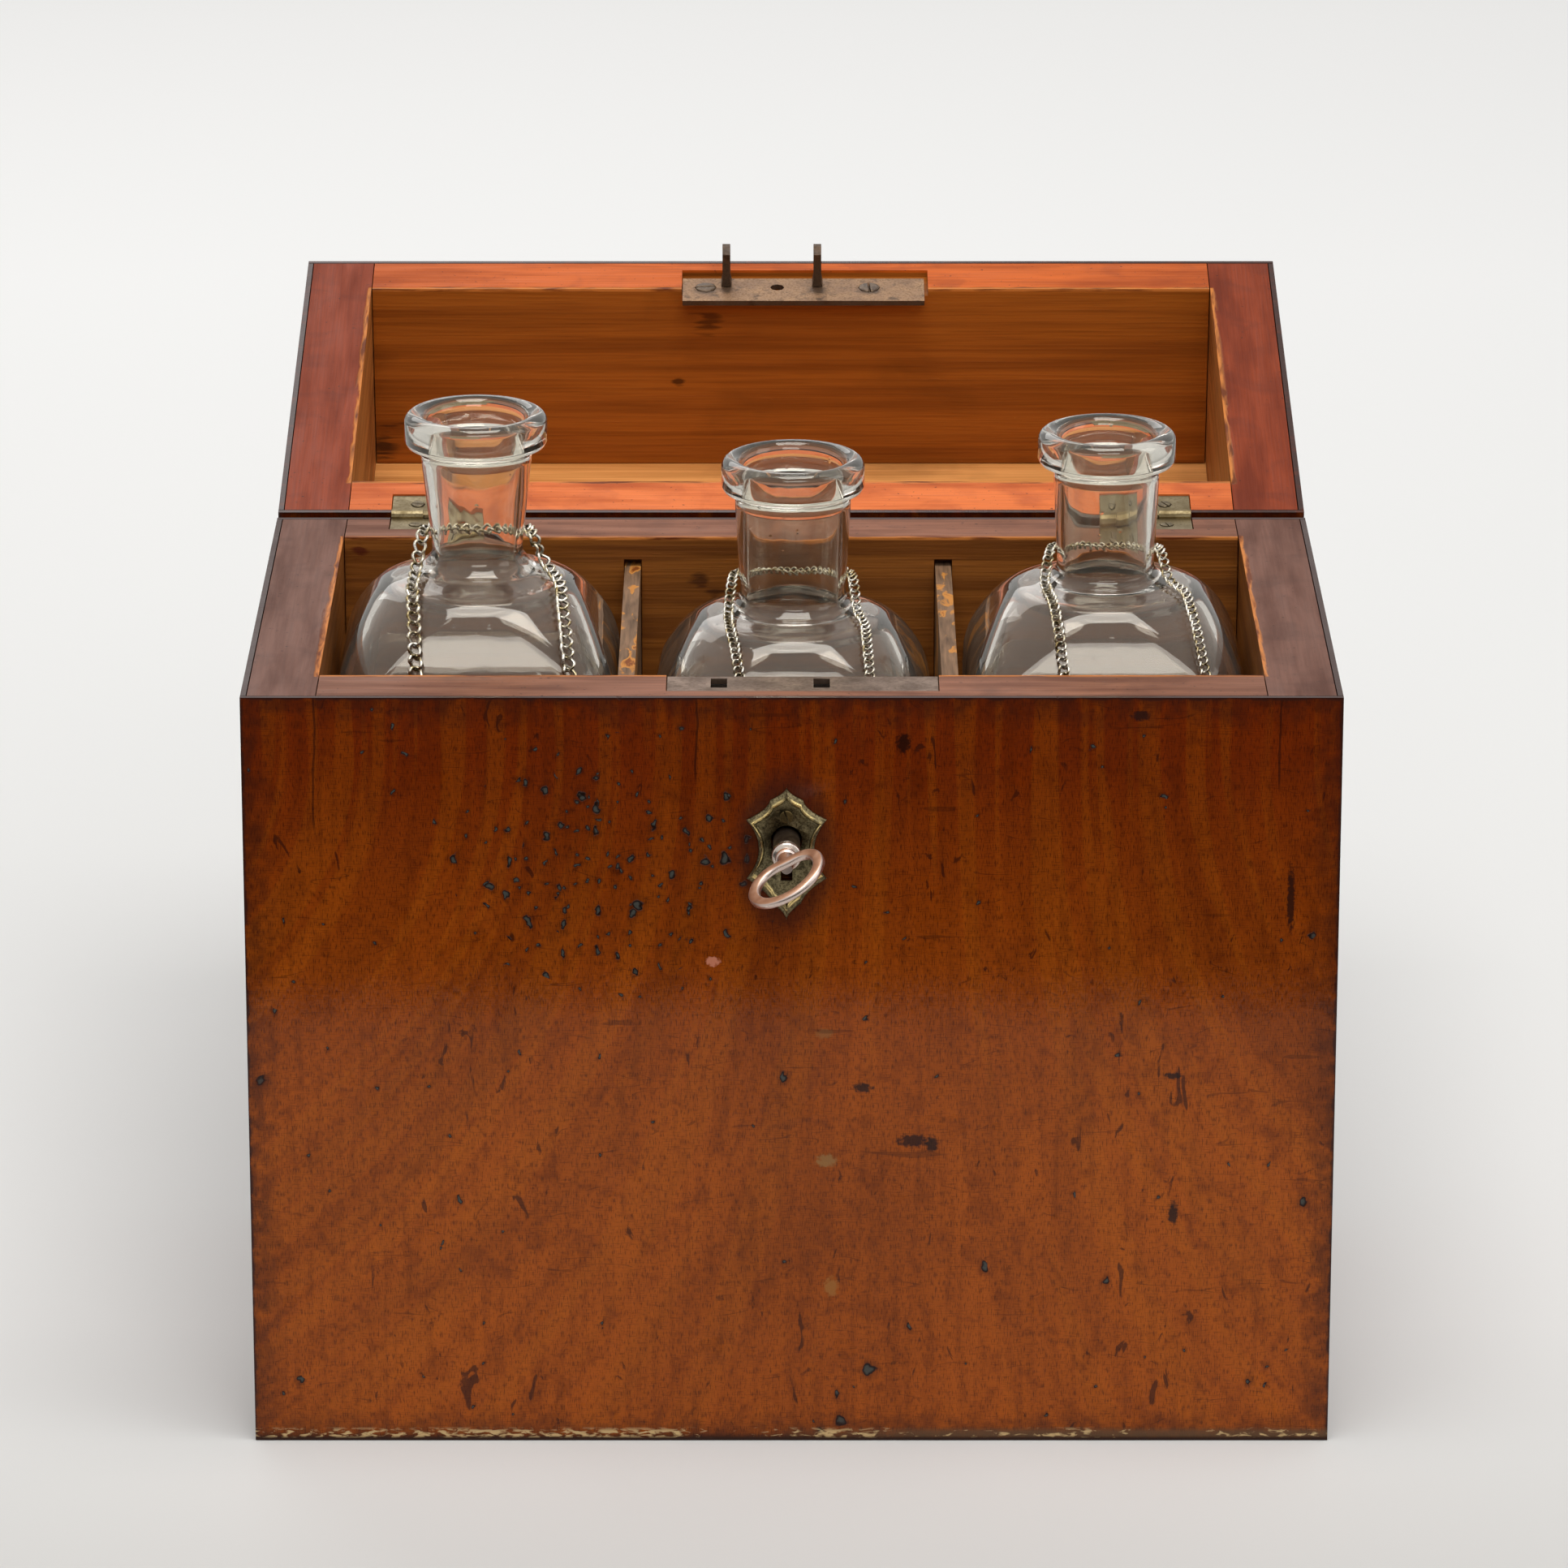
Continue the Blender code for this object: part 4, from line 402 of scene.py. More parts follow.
near = off_mark(*PIT_AREA)
warp = add("TexNoise", {"Vector": face, "Scale": 260.0, "Detail": 2.0}, output=1)
bent = add("VectorMath", [warp, (0.0044, 0.0044, 0), face], "MULTIPLY_ADD")
pits = cores = 0.0
for wide, tall, empty, crowding in PITS:
    cells = add("VectorMath", [bent, (1 / wide, 1 / tall, 0)], "MULTIPLY")
    cell = add("TexVoronoi", {"Vector": cells, "Scale": 1.0}, voronoi_dimensions="2D").node.outputs
    chance = add("SeparateColor", [cell["Color"]])
    limit = add("MapRange", [near, 1.25, 0.5, 0.990, 0.990 - crowding * (1 - empty)])
    lucky = add("Math", [chance, limit], "GREATER_THAN")
    hole = add("MapRange", [cell["Distance"], 0.19, 0.15])
    hole = add("Math", [hole, lucky], "MULTIPLY")
    pits = add("Math", [hole, pits], "MAXIMUM")
    core = add("MapRange", [cell["Distance"], 0.13, 0.07])
    core = add("Math", [core, lucky], "MULTIPLY")
    cores = add("Math", [core, cores], "MAXIMUM")
    smudge = add("MapRange", {0: cell["Distance"], 1: 0.42, 2: 0.18, 4: 0.4})
    smudge = add("Math", [smudge, lucky], "MULTIPLY")
    wood = add("Mix", {0: smudge, 6: wood, 7: "#2c0a02"}, output=2, data_type="RGBA")
wood = over(wood, "#1a0d08", pits)
wood = over(wood, "#42423e", cores)
height = add("Math", [pits, -1.6, height], "MULTIPLY_ADD")

# Dark bruises lie along the grain in the lower half and by the right edge.
bruise = grain(face, (0.0046, 0.011, 1), 5, 1.0, 13.0)
bruise_area = grain(face, (0.06, 0.06, 1), 2, 0.0, 21.0)
bruise = add("Math", [bruise_area, 0.35, bruise], "MULTIPLY_ADD")
wood = over(wood, "#2e1006", bruise, 0.86, 0.90, 0.75)

# Single marks: (x, z, half width, half height, colour). The pale ones are filled holes in a column.
MARKS = (
    (0.0091, 0.1210, 0.0030, 0.0016, "#8a5426"),
    (0.0096, 0.0835, 0.0034, 0.0022, "#8c6438"),
    (0.0110, 0.0461, 0.0022, 0.0032, "#96602a"),
    (-0.0217, 0.1421, 0.0022, 0.0016, "#c07a60"),
    (0.0304, 0.2051, 0.0024, 0.0034, "#200a04"),
    (0.0196, 0.1051, 0.0032, 0.0016, "#1c100c"),
    (0.0336, 0.0895, 0.0052, 0.0022, "#26100a"),
    (0.0388, 0.0885, 0.0020, 0.0028, "#1c100c"),
    (0.1051, 0.1086, 0.0030, 0.0012, "#1c100c"),
    (0.1058, 0.0679, 0.0016, 0.0038, "#1c100c"),
    (0.1367, 0.1600, 0.0012, 0.0110, "#2a120a"),
    (0.0950, 0.2128, 0.0030, 0.0016, "#241410"),
)
ragged = add("TexNoise", {"Vector": face, "Scale": 900.0, "Detail": 3.0})
for *mark, tint in MARKS:
    off = add("Math", [ragged, 1.4, off_mark(*mark)], "MULTIPLY_ADD")
    wood = over(wood, tint, off, 1.7, 1.3, 0.9)

# The polish is dark with old dirt round the lock's shield, and the veneer has cracked by both corners.
SHIELD_DIRT = (0.0135, 0.0225)
shield_x, _, shield_z = middle_of("escutcheon")
off = off_mark(shield_x, shield_z, *SHIELD_DIRT)
off = add("Math", [ragged, 0.25, off], "MULTIPLY_ADD")
wood = over(wood, "#2c1410", off, 1.30, 1.00, 0.6)
for crack_x, foot in ((-0.1303, 0.178), (0.1329, 0.190), (-0.0262, 0.192)):
    wander = grain(face, (1, 0.025, 1), 3, 0.0, crack_x * 100)
    aside = add("Math", [wander, 0.003, x], "MULTIPLY_ADD")
    gap = add("Math", [aside, crack_x + 0.0015, 0.0003], "COMPARE")
    reach = add("MapRange", [z, foot, foot + 0.004])
    crack = add("Math", [gap, reach], "MULTIPLY")
    wood = over(wood, "#1c0a04", crack, most=0.6)
    height = add("Math", [height, crack], "SUBTRACT")

# Fine scratches run every way. Real ones are hair thin, and they are drawn 0.3 mm wide so that they show.
for turn, thin in ((0.15, 0.007), (1.0, 0.006), (1.9, 0.006)):
    drawn = add("Mapping", {"Vector": face, "Rotation": (0, 0, turn), "Scale": (16, 130, 1)})
    line = add("TexNoise", {"Vector": drawn, "Scale": 1.0, "Detail": 1.0})
    line = add("Math", [line, 0.5, thin * 0.5], "COMPARE")
    short = add("TexNoise", {"Vector": drawn, "Scale": 3.1, "Detail": 0.0})
    short = add("MapRange", [short, 0.62, 0.68])
    line = add("Math", [line, short], "MULTIPLY")
    wood = over(wood, "#2c1004", line, most=0.4)
wood = worn_edges(wood, places, CASE_HALF, 0.0, BODY_RIM)

# Chipped cream paint or filler is left along the foot of the face.
foot_paint = add("MapRange", [z, 0.0040, 0.0026])
above_floor = add("MapRange", [z, 0.0006, 0.0014])
foot_paint = add("Math", [foot_paint, above_floor], "MULTIPLY")
crumbs = grain(face, (0.0034, 0.0011, 1), 6, 0.6, 3.0)
stretch = grain(face, (0.030, 1, 1), 3, 0.0, 17.0)
crumbs = add("Math", [stretch, 0.8, crumbs], "MULTIPLY_ADD")
rightward = add("MapRange", {0: x, 1: -0.06, 2: 0.02, 4: 0.10})
crumbs = add("Math", [crumbs, rightward], "SUBTRACT")
crumbs = add("MapRange", [crumbs, 0.88, 0.98])
crumbs = add("Math", [crumbs, foot_paint], "MULTIPLY")
stripped = add("MapRange", [x, -0.01, 0.04])
stripped = add("Math", [stripped, foot_paint], "MULTIPLY")
wood = over(wood, "#2c1408", z, 0.0024, 0.0006)
wood = over(wood, "#5e4630", stripped, most=0.75)
wood = over(wood, "#c8aa78", crumbs)
dull = add("Math", [pits, crumbs], "MAXIMUM")
polish(shader, wood, height, dull)
finish_node("front_veneer", front_mahogany, VENEER_EDGE)

LID_HEIGHT = 0.0705


def plain_sheet(name, across, along, shift, lid=False):
    """Finishes a sheet of veneer that has no marks of its own."""
    made, shader, places, wood, height = polished_mahogany(
        f"polished_mahogany_{name}", across, along, shift, lid
    )
    if along == "z":
        axis = "xyz".index(across)
        half = -FRONT_Y if axis else CASE_HALF
        low, high = (BODY_RIM, BODY_RIM + LID_HEIGHT) if lid else (0.0, BODY_RIM)
        wood = worn_edges(wood, places, half, low, high, axis)
    polish(shader, wood, height)
    finish_node(f"{name}_veneer", made, VENEER_EDGE)


for name, across, shift in (("rear", "x", 31), ("left", "y", 47), ("right", "y", 59)):
    plain_sheet(name, across, "z", shift)


# The lid is a shallow pine box like the body, with a top board laid over its walls. Its rim keeps more of
# its red stain: bright orange on the two long boards, deeper red on the short ones. Inside it is raw, with
# painted light: the top board's inside is painted lighter, as if lit from above, and the front board's
# inside darker, partly a darker stain and partly painted shade.
LID_STAINS = (
    ((-0.0350, -INNER_Y, 0.2500), 0.0022, "#241006"),
    ((-0.0250, -INNER_Y, 0.2300), 0.0040, "#4a2408"),
    ((-0.1270, -INNER_Y, 0.2720), 0.0055, "#20140c"),
)
# The front board's raw inside is painted darker: partly a darker stain, partly painted shade.
lid_cross_pine = sawn_pine(
    "sawn_pine_lid_cross", "x", "#a05a1c", "#70380e", "#d0621c", "#8e3c14", True, 21.0, LID_STAINS
)
lid_rear_pine = sawn_pine("sawn_pine_lid_rear", "x", "#b8783c", "#864c1c", "#e27638", "#a24620", True, 24)
lid_side_pine = sawn_pine("sawn_pine_lid_sides", "y", "#a86e38", "#6a3c18", "#9a3c0c", "#5e200a", True, 27)
# The top board's raw inside is painted lighter: painted light from above.
lid_top_pine_painted_light = sawn_pine("sawn_pine_lid_top_painted_light", "x", "#e6a05c", "#ae6c30", "#d0703c", "#9c4a28", True, 33)
LID_BOARDS = {
    "front": lid_cross_pine,
    "rear": lid_rear_pine,
    "top": lid_top_pine_painted_light,
    "left_side": lid_side_pine,
    "right_side": lid_side_pine,
}
for name, made in LID_BOARDS.items():
    finish_node(f"lid_{name}_board", made, BOARD_EDGE)

LID_SHEETS = (
    ("lid_front", "x", "z", 61),
    ("lid_rear", "x", "z", 67),
    ("lid_left", "y", "z", 71),
    ("lid_right", "y", "z", 73),
    ("lid_top", "y", "x", 79),
)
for name, across, along, shift in LID_SHEETS:
    plain_sheet(name, across, along, shift, True)


# Two brass butt hinges, rolled from sheet, filed flat and let flush into both rims. The brass has gone
# dull olive brown, with dark dirt in the corners. Small iron wood screws hold them.
def aged_metal(name, clean, tarnish, rough, patch=0.0055, spots=0.5):
    """Old metal: rubbed places, a darker skin of tarnish in patches, and pitting a seventh as large."""
    made, shader = material(name, {"Metallic": 1.0})
    at = add("TexCoord", output="Object")
    skin = grain(at, patch, 6, 0.4, 3.0)
    fine = grain(at, patch / 7, 3, 0.0, 9.0)
    metal = over(clean, tarnish, skin, spots - 0.14, spots + 0.18, 0.8)
    metal = over(metal, tarnish, fine, 0.50, 0.72, 0.6)
    uneven = add("Math", [skin, fine])
    rough = add("MapRange", [uneven, 0.6, 1.4, rough * 0.75, rough * 1.3])
    surface(shader, metal, rough, fine, 0.3, 0.00015)
    return made


hinge_brass = aged_metal("rolled_brass_tarnished", "#8e8062", "#645538", 0.46)
pin_brass = aged_metal("drawn_brass_wire", "#9a8660", "#665638", 0.38)
for side in ("left", "right"):
    for leaf in ("body", "lid"):
        finish_node(f"{side}_hinge_{leaf}_leaf", hinge_brass, 0.00015)
    finish_node(f"{side}_hinge_pin", pin_brass)


# Wood screws with filed countersunk heads and narrow hand-cut slots: iron in the hinges, the lock and the
# hook plate. Each visual screw stands where its CAD node stands.
SCREW_SIDES = 32
SLOT_SHARE = 0.24


def smooth_object(name, bm, made, angle=40.0):
    """An object from mesh code, smooth but for its sharp edges."""
    bmesh.ops.recalc_face_normals(bm, faces=bm.faces)
    mesh = bpy.data.meshes.new(name)
    bm.to_mesh(mesh)
    bm.free()
    mesh.shade_smooth()
    mesh.set_sharp_from_angle(angle=math.radians(angle))
    mesh.materials.append(made)
    piece = bpy.data.objects.new(name, mesh)
    scene.collection.objects.link(piece)
    return piece


def rings_to_skin(bm, rings, closed=False, capped=True):
    """Joins rings of points with quads. An open run may be capped at both ends."""
    rows = [[bm.verts.new(point) for point in ring] for ring in rings]
    after = rows[1:] + rows[:1] if closed else rows[1:]
    for here, there in zip(rows, after):
        for i in range(len(here)):
            j = (i + 1) % len(here)
            bm.faces.new((here[i], here[j], there[j], there[i]))
    if capped and not closed:
        bm.faces.new(rows[0])
        bm.faces.new(rows[-1])


def turned_rings(levels, sides, turn):
    """Rings of a turned piece from (distance along, radius) levels, set in place by a matrix."""
    angles = [2 * math.pi * i / sides for i in range(sides)]
    return [[turn @ Vector((r * math.cos(a), r * math.sin(a), d)) for a in angles] for d, r in levels]


def cut_out(piece, cutter, made):
    """Cuts a closed shape out of a piece."""
    tool = smooth_object("cutter", cutter, made)
    cut = piece.modifiers.new("cut", "BOOLEAN")
    cut.object = tool
    cut.solver = "EXACT"
    with bpy.context.temp_override(object=piece, active_object=piece, selected_objects=[piece]):
        bpy.ops.object.modifier_apply(modifier=cut.name)
    bpy.data.objects.remove(tool)


def filed_screw(name, made, out, slot_turn, body):
    """A round screw with a slot in its head, in the place of the CAD node of that name."""
    out = Vector(out).normalized()
    points = [vert.co for vert in nodes[name].data.vertices]
    heights = [point.dot(out) for point in points]
    top, foot = max(heights), min(heights)
    shank = [point for point in points if point.dot(out) < foot + 0.0005]
    low = Vector([min(point[i] for point in shank) for i in range(3)])
    high = Vector([max(point[i] for point in shank) for i in range(3)])
    centre = (low + high) / 2
    centre -= out * centre.dot(out)
    radius = max((point - centre - out * point.dot(out)).length for point in points)
    spin = out.to_track_quat("Z", "Y").to_matrix().to_4x4()
    turn = Matrix.Translation(centre) @ spin @ Matrix.Rotation(math.radians(slot_turn), 4, "Z")
    head = radius * 0.97
    edge = head * 0.12
    levels = (
        (foot, head * 0.12),
        (foot + head * 0.9, head * 0.48),
        (top - head * 0.75, head * 0.5),
        (top - head * 0.18, head * 0.97),
        (top - edge * 0.6, head),
        (top - edge * 0.15, head - edge * 0.5),
        (top, head - edge * 1.6),
    )
    bm = bmesh.new()
    rings_to_skin(bm, turned_rings(levels, SCREW_SIDES, turn))
    piece = smooth_object(f"{name}_filed", bm, made)
    cutter = bmesh.new()
    half, deep = head * SLOT_SHARE / 2, head * 0.32
    bmesh.ops.create_cube(cutter, size=1.0)
    shape = Matrix.Diagonal((half * 2, head * 2.6, deep * 2, 1.0))
    bmesh.ops.transform(cutter, matrix=turn @ Matrix.Translation((0, 0, top)) @ shape, verts=cutter.verts)
    cut_out(piece, cutter, made)
    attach(piece, body)
    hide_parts(name)


LID_UP = Matrix.Rotation(-LID_OPEN, 3, "X") @ Vector((0, 0, -1))
hinge_iron = aged_metal("filed_iron_screw", "#86785f", "#40362a", 0.45, 0.0025)
for side in ("left", "right"):
    for which, turn in (("outer", 60), ("inner", 15)):
        filed_screw(f"{side}_hinge_body_{which}_screw", hinge_iron, (0, 0, 1), turn, "case")
        filed_screw(f"{side}_hinge_lid_{which}_screw", hinge_iron, LID_UP, turn + 20, "lid")
lock_iron = aged_metal("forged_iron_lock_screw", "#7c7060", "#40362c", 0.5, 0.0033)
for row in ("upper", "lower"):
    for side, turn in (("left", 35), ("right", 80)):
        filed_screw(f"lock_{row}_{side}_screw", lock_iron, (0, 1, 0), turn, "case")


# The box lock is of wrought iron sheet: a selvedge plate let into the rim, a back plate flush with the
# wall inside, a folded cap over the works, a bolt, and the drill pin that the pipe key slides on.
selvedge_iron = aged_metal("wrought_iron_sheet_handled", "#8a7464", "#5e4c40", 0.46, 0.007)
inner_iron = aged_metal("wrought_iron_sheet", "#6e6258", "#382e28", 0.55, 0.008)
finish_node("lock_selvedge_plate", selvedge_iron, 0.00025)
for name in ("lock_back_plate", "lock_cap", "lock_bolt"):
    finish_node(name, inner_iron, 0.0002)
finish_node("drill_pin", inner_iron, 0.0001)


# The hook plate is rusty iron, let into the lid's rim, with two eyed hooks riveted in it and two big
# screws. Brown rust covers it, with warm tan patches where it was rubbed, and the hooks are almost black.
def rusty_iron(name, bare, rust, dark, rough, darkening=()):
    """Iron under brown rust, rubbed to the metal in places. Where places to darken are given, it is darker
    round what stands in it, and its edges get painted shade.
    """
    made, shader = material(name)
    at = add("TexCoord", output="Object")
    patches = grain(at, 0.007, 6, 0.8, 5.0)
    grit = grain(at, 0.0007, 3, 0.0, 2.0)
    spots = grain(at, 0.003, 4, 0.3, 8.0)
    skin = over(rust, bare, patches, 0.36, 0.66)
    skin = over(skin, dark, spots, 0.56, 0.72, 0.7)
    skin = over(skin, dark, grit, 0.50, 0.75, 0.5)
    ragged = add("Math", [spots, 0.004], "MULTIPLY")
    # Darker round each thing that stands in the plate.
    for place, reach in darkening:
        away = add("VectorMath", [at, place], "DISTANCE", "Value")
        away = add("Math", [away, ragged])
        skin = over(skin, dark, away, reach + 0.003, reach + 0.001, 0.85)
    if darkening:
        # Painted shade: faces turned away from the plate's face, along its edges, are painted dark.
        facing = [add("TexCoord", output="Normal"), LID_UP]
        facing = add("VectorMath", facing, "DOT_PRODUCT", "Value")
        facing = add("Math", [facing], "ABSOLUTE")
        skin = over(skin, dark, facing, 0.8, 0.4, 0.9)
    metal = add("MapRange", [patches, 0.36, 0.66, 0.25, 0.7])
    rough = add("MapRange", [grit, 0.3, 0.7, rough * 0.8, rough * 1.2])
    fill(shader, {"Metallic": metal})
    surface(shader, skin, rough, grit, 0.5, 0.0002)
    return made


# How far the darkening reaches round each
PLATE_DARKENING = {
    "left_hook": 0.0022,
    "right_hook": 0.0030,
    "hook_plate_left_screw": 0.0034,
    "hook_plate_right_screw": 0.0034,
}
_, plate_y, plate_z = middle_of("hook_plate")
darkening = [((middle_of(name)[0], plate_y, plate_z), reach) for name, reach in PLATE_DARKENING.items()]
plate_iron = rusty_iron("rusted_iron_plate", "#a88462", "#886649", "#3c2b1e", 0.55, darkening)
hook_iron = rusty_iron("forged_iron_hook", "#5a4534", "#42301f", "#221811", 0.48)
big_screw_iron = rusty_iron("filed_iron_screw_rusted", "#75604a", "#4c3829", "#261c14", 0.42)
finish_node("hook_plate", plate_iron, 0.0003)
for name in ("left_hook", "right_hook"):
    finish_node(name, hook_iron, 0.0004)
for side, turn in (("left", 96), ("right", 4)):
    filed_screw(f"hook_plate_{side}_screw", big_screw_iron, LID_UP, turn, "lid")


# The escutcheon is cast brass: a shield with six points and hollow sides, an ogee moulding round a sunk
# field, and one round-headed pin. Black dirt lies in the hollows, and the high ridges are painted gold:
# partly rubbed brass, partly a painted highlight.
SHIELD_WIDTH_SHARES = (0.0, 0.41, 1.0, 1.0, 0.36, 0.0)
SHIELD_HEIGHT_SHARES = (1.0, 0.77, 0.41, -0.47, -0.79, -1.0)
SHIELD_HOLLOW_SHARES = (0.15, 0.16, 0.20, 0.12, 0.12)
SHIELD_RISE_SHARE = 0.41
SHIELD_STEPS = 10
# The moulding from the rim inwards: how large the outline is, and how high it stands
MOULDING_SHARES = (
    (0.985, 0.0),
    (1.0, 0.22),
    (0.985, 0.42),
    (0.955, 0.55),
    (0.925, 0.62),
    (0.90, 0.86),
    (0.875, 1.0),
    (0.845, 0.96),
    (0.82, 0.74),
    (0.795, 0.60),
    (0.765, 0.66),
    (0.74, 0.60),
    (0.715, 0.46),
)
shield_low, shield_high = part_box("escutcheon")
shield_half = (shield_high.x - shield_low.x) / 2
shield_tall = shield_high.z - shield_low.z
shield_axis = Vector((shield_x, 0, shield_high.z - shield_tall * SHIELD_RISE_SHARE))
shield_back, shield_face = shield_high.y, shield_low.y


def shield_points():
    """The shield's outline round the key's axis, its edges bowed inwards between the points."""
    corners = []
    for across, up in zip(SHIELD_WIDTH_SHARES, SHIELD_HEIGHT_SHARES):
        tall = shield_high.z - shield_axis.z if up > 0 else shield_axis.z - shield_low.z
        corners.append(Vector((across * shield_half, up * tall)))
    right = []
    for start, end, share in zip(corners, corners[1:], SHIELD_HOLLOW_SHARES):
        middle = (start + end) / 2
        inward = Vector((-1, 0)) if middle.x else Vector((0, 0))
        for i in range(SHIELD_STEPS):
            t = i / SHIELD_STEPS
            bow = 4 * t * (1 - t) * share * (end - start).length
            right.append(start.lerp(end, t) + inward * bow)
    right.append(corners[-1])
    left = [Vector((-p.x, p.y)) for p in reversed(right[1:-1])]
    return right + left


bm = bmesh.new()
outline = shield_points()
rings = []
for size, height in MOULDING_SHARES:
    y = shield_back + (shield_face - shield_back) * height
    rings.append([Vector((shield_axis.x + p.x * size, y, shield_axis.z + p.y * size)) for p in outline])
rings_to_skin(bm, rings)

cast_brass, shader = material("cast_brass_dark", {"Metallic": 1.0})
at = add("TexCoord", output="Object")
grime_and_painted_light = grain(at, 0.0030, 6, 0.6, 4.0)
grit = grain(at, 0.0005, 3, 0.0, 6.0)
depth = add("SeparateXYZ", [at], output=1)
# The moulding's high ridges are painted gold in patches: partly rubbed brass, partly a painted highlight.
raised = add("MapRange", [depth, shield_face + 0.0005, shield_face + 0.0001])
rubbed = add("MapRange", [grime_and_painted_light, 0.38, 0.58])
rubbed = add("Math", [raised, rubbed], "MULTIPLY")
metal = over("#8a7e5e", "#3a3222", grit, 0.42, 0.72)
metal = over(metal, "#4a4230", grime_and_painted_light, 0.50, 0.66)
metal = over(metal, "#ecd290", rubbed, 0.0, 0.7)
rough = add("MapRange", {0: rubbed, 3: 0.44, 4: 0.20})
surface(shader, metal, rough, grit, 0.4, 0.0002)
escutcheon = smooth_object("cast_escutcheon", bm, cast_brass, 60.0)

KEYHOLE_RADIUS = 0.0043
KEYHOLE_RISE = 0.0004
KEYHOLE_HALF_SLOT = 0.0016
KEYHOLE_DROP = 0.0112
pin_x, _, pin_z = middle_of("drill_pin")
KEY_AXIS = Vector((pin_x, FRONT_Y, pin_z))
open_turn = math.asin(KEYHOLE_HALF_SLOT / KEYHOLE_RADIUS)
eye = []
for i in range(33):
    turn = -math.pi / 2 + open_turn + (2 * math.pi - 2 * open_turn) * i / 32
    eye.append((KEYHOLE_RADIUS * math.cos(turn), KEYHOLE_RISE + KEYHOLE_RADIUS * math.sin(turn)))
eye += [(-KEYHOLE_HALF_SLOT, -KEYHOLE_DROP), (KEYHOLE_HALF_SLOT, -KEYHOLE_DROP)]
cutter = bmesh.new()
for_cut = []
for y in (FRONT_Y - 0.004, FRONT_Y + 0.002):
    for_cut.append([Vector((KEY_AXIS.x + px, y, KEY_AXIS.z + pz)) for px, pz in eye])
rings_to_skin(cutter, for_cut)
cut_out(escutcheon, cutter, cast_brass)
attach(escutcheon, "case")
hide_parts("escutcheon")
pin_brass_dark = aged_metal("brass_pin_dirty", "#6c5a38", "#2c241a", 0.45, 0.002)
filed_screw("escutcheon_pin", pin_brass_dark, (0, -1, 0), 20, "case")


# The key is a pipe key of iron, turned and filed: a dark shaft in the lock, a bright collar, a smaller
# ring, and a ring bow. The bow's flats are worn to a warm coppery brown, its edges polished by hands.
KEY_SIDES = 48
SHAFT_RADIUS = 0.0037
BORE_RADIUS = 0.0020
BORE_DEPTH = 0.0160
KEY_TURN = math.radians(60)
COLLAR_REACH = 0.0118
COLLAR = (0.0041, 0.0022)
RING = (0.0031, 0.0020)
GROOVE = (0.0026, 0.0006)
BOW_REACH = 0.0436
BOW_SIZE = 0.0232
BOW_BAND = 0.0032
BOW_THICKNESS = 0.0021
BOW_DIP = 0.16
BOW_DROOP = math.radians(12)
BIT_THICKNESS = 0.0024
BIT_LENGTH = 0.0070
BIT_REACH = 0.0105
BIT_CUT = 0.0016
key_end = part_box("key")[1].y
collar_face = FRONT_Y - COLLAR_REACH
ring_face = collar_face - COLLAR[1] - GROOVE[1]
neck_face = ring_face - RING[1] - GROOVE[1]
bow_centre = FRONT_Y - BOW_REACH + BOW_SIZE / 2
bow_place = Matrix.Translation((KEY_AXIS.x, bow_centre, KEY_AXIS.z))
bow_heel = bow_centre + BOW_SIZE / 2 * (1 - BOW_DIP) - BOW_BAND / 2
about_key = Matrix.Translation(KEY_AXIS) @ Matrix.Rotation(KEY_TURN, 4, "Y")
about_bow = bow_place @ Matrix.Rotation(BOW_DROOP, 4, "X") @ bow_place.inverted() @ about_key
key_frame = about_key @ Matrix.Rotation(math.radians(90), 4, "X")


def key_levels(points):
    """(y, radius) pairs as distances along the key's own axis, which points out of the case."""
    return [(FRONT_Y - y, radius) for y, radius in points]


ease = 0.0003
shaft = [
    (key_end - BORE_DEPTH, 0.0002),
    (key_end - BORE_DEPTH, BORE_RADIUS),
    (key_end - ease, BORE_RADIUS),
    (key_end, BORE_RADIUS + ease),
    (key_end, SHAFT_RADIUS - ease),
    (key_end - ease, SHAFT_RADIUS),
    (collar_face + ease, SHAFT_RADIUS),
    (collar_face + ease, COLLAR[0] - ease),
]
for start, (radius, long) in ((collar_face, COLLAR), (ring_face, RING)):
    for i in range(9):
        turn = math.pi * i / 8
        swell = ease * 1.6 * (math.sin(turn) - 1)
        shaft.append((start - long * (1 - math.cos(turn)) / 2, radius + swell))
    shaft.append((start - long - GROOVE[1] / 2, GROOVE[0] - ease / 2))
shaft += [(neck_face, GROOVE[0]), (neck_face - 0.0014, GROOVE[0] * 0.86), (bow_heel, GROOVE[0] * 0.6)]
bm = bmesh.new()
rings_to_skin(bm, turned_rings(key_levels(shaft), KEY_SIDES, key_frame))
BOW_STEPS, BAND_SIDES = 72, 16
mid_bow = (BOW_SIZE - BOW_BAND) / 2
rings = []
for i in range(BOW_STEPS):
    turn = 2 * math.pi * i / BOW_STEPS
    across, along = math.cos(turn), math.sin(turn)
    dip = 1 - BOW_DIP * max(along, 0) ** 6
    ring = []
    for k in range(BAND_SIDES):
        spin = 2 * math.pi * k / BAND_SIDES
        flat = math.copysign(abs(math.cos(spin)) ** 0.6, math.cos(spin))
        edge = math.copysign(abs(math.sin(spin)) ** 0.6, math.sin(spin))
        reach = BOW_BAND / 2 * flat
        out = bow_centre + (mid_bow * dip + reach) * along - FRONT_Y
        ring.append(about_bow @ Vector((BOW_THICKNESS / 2 * edge, out, (mid_bow + reach) * across)))
    rings.append(ring)
rings_to_skin(bm, rings, closed=True)
bit_rear = key_end - 0.00015
bit_front = bit_rear - BIT_LENGTH
ward = (SHAFT_RADIUS + BIT_REACH) / 2
foot = SHAFT_RADIUS / 2
half = BIT_CUT / 2
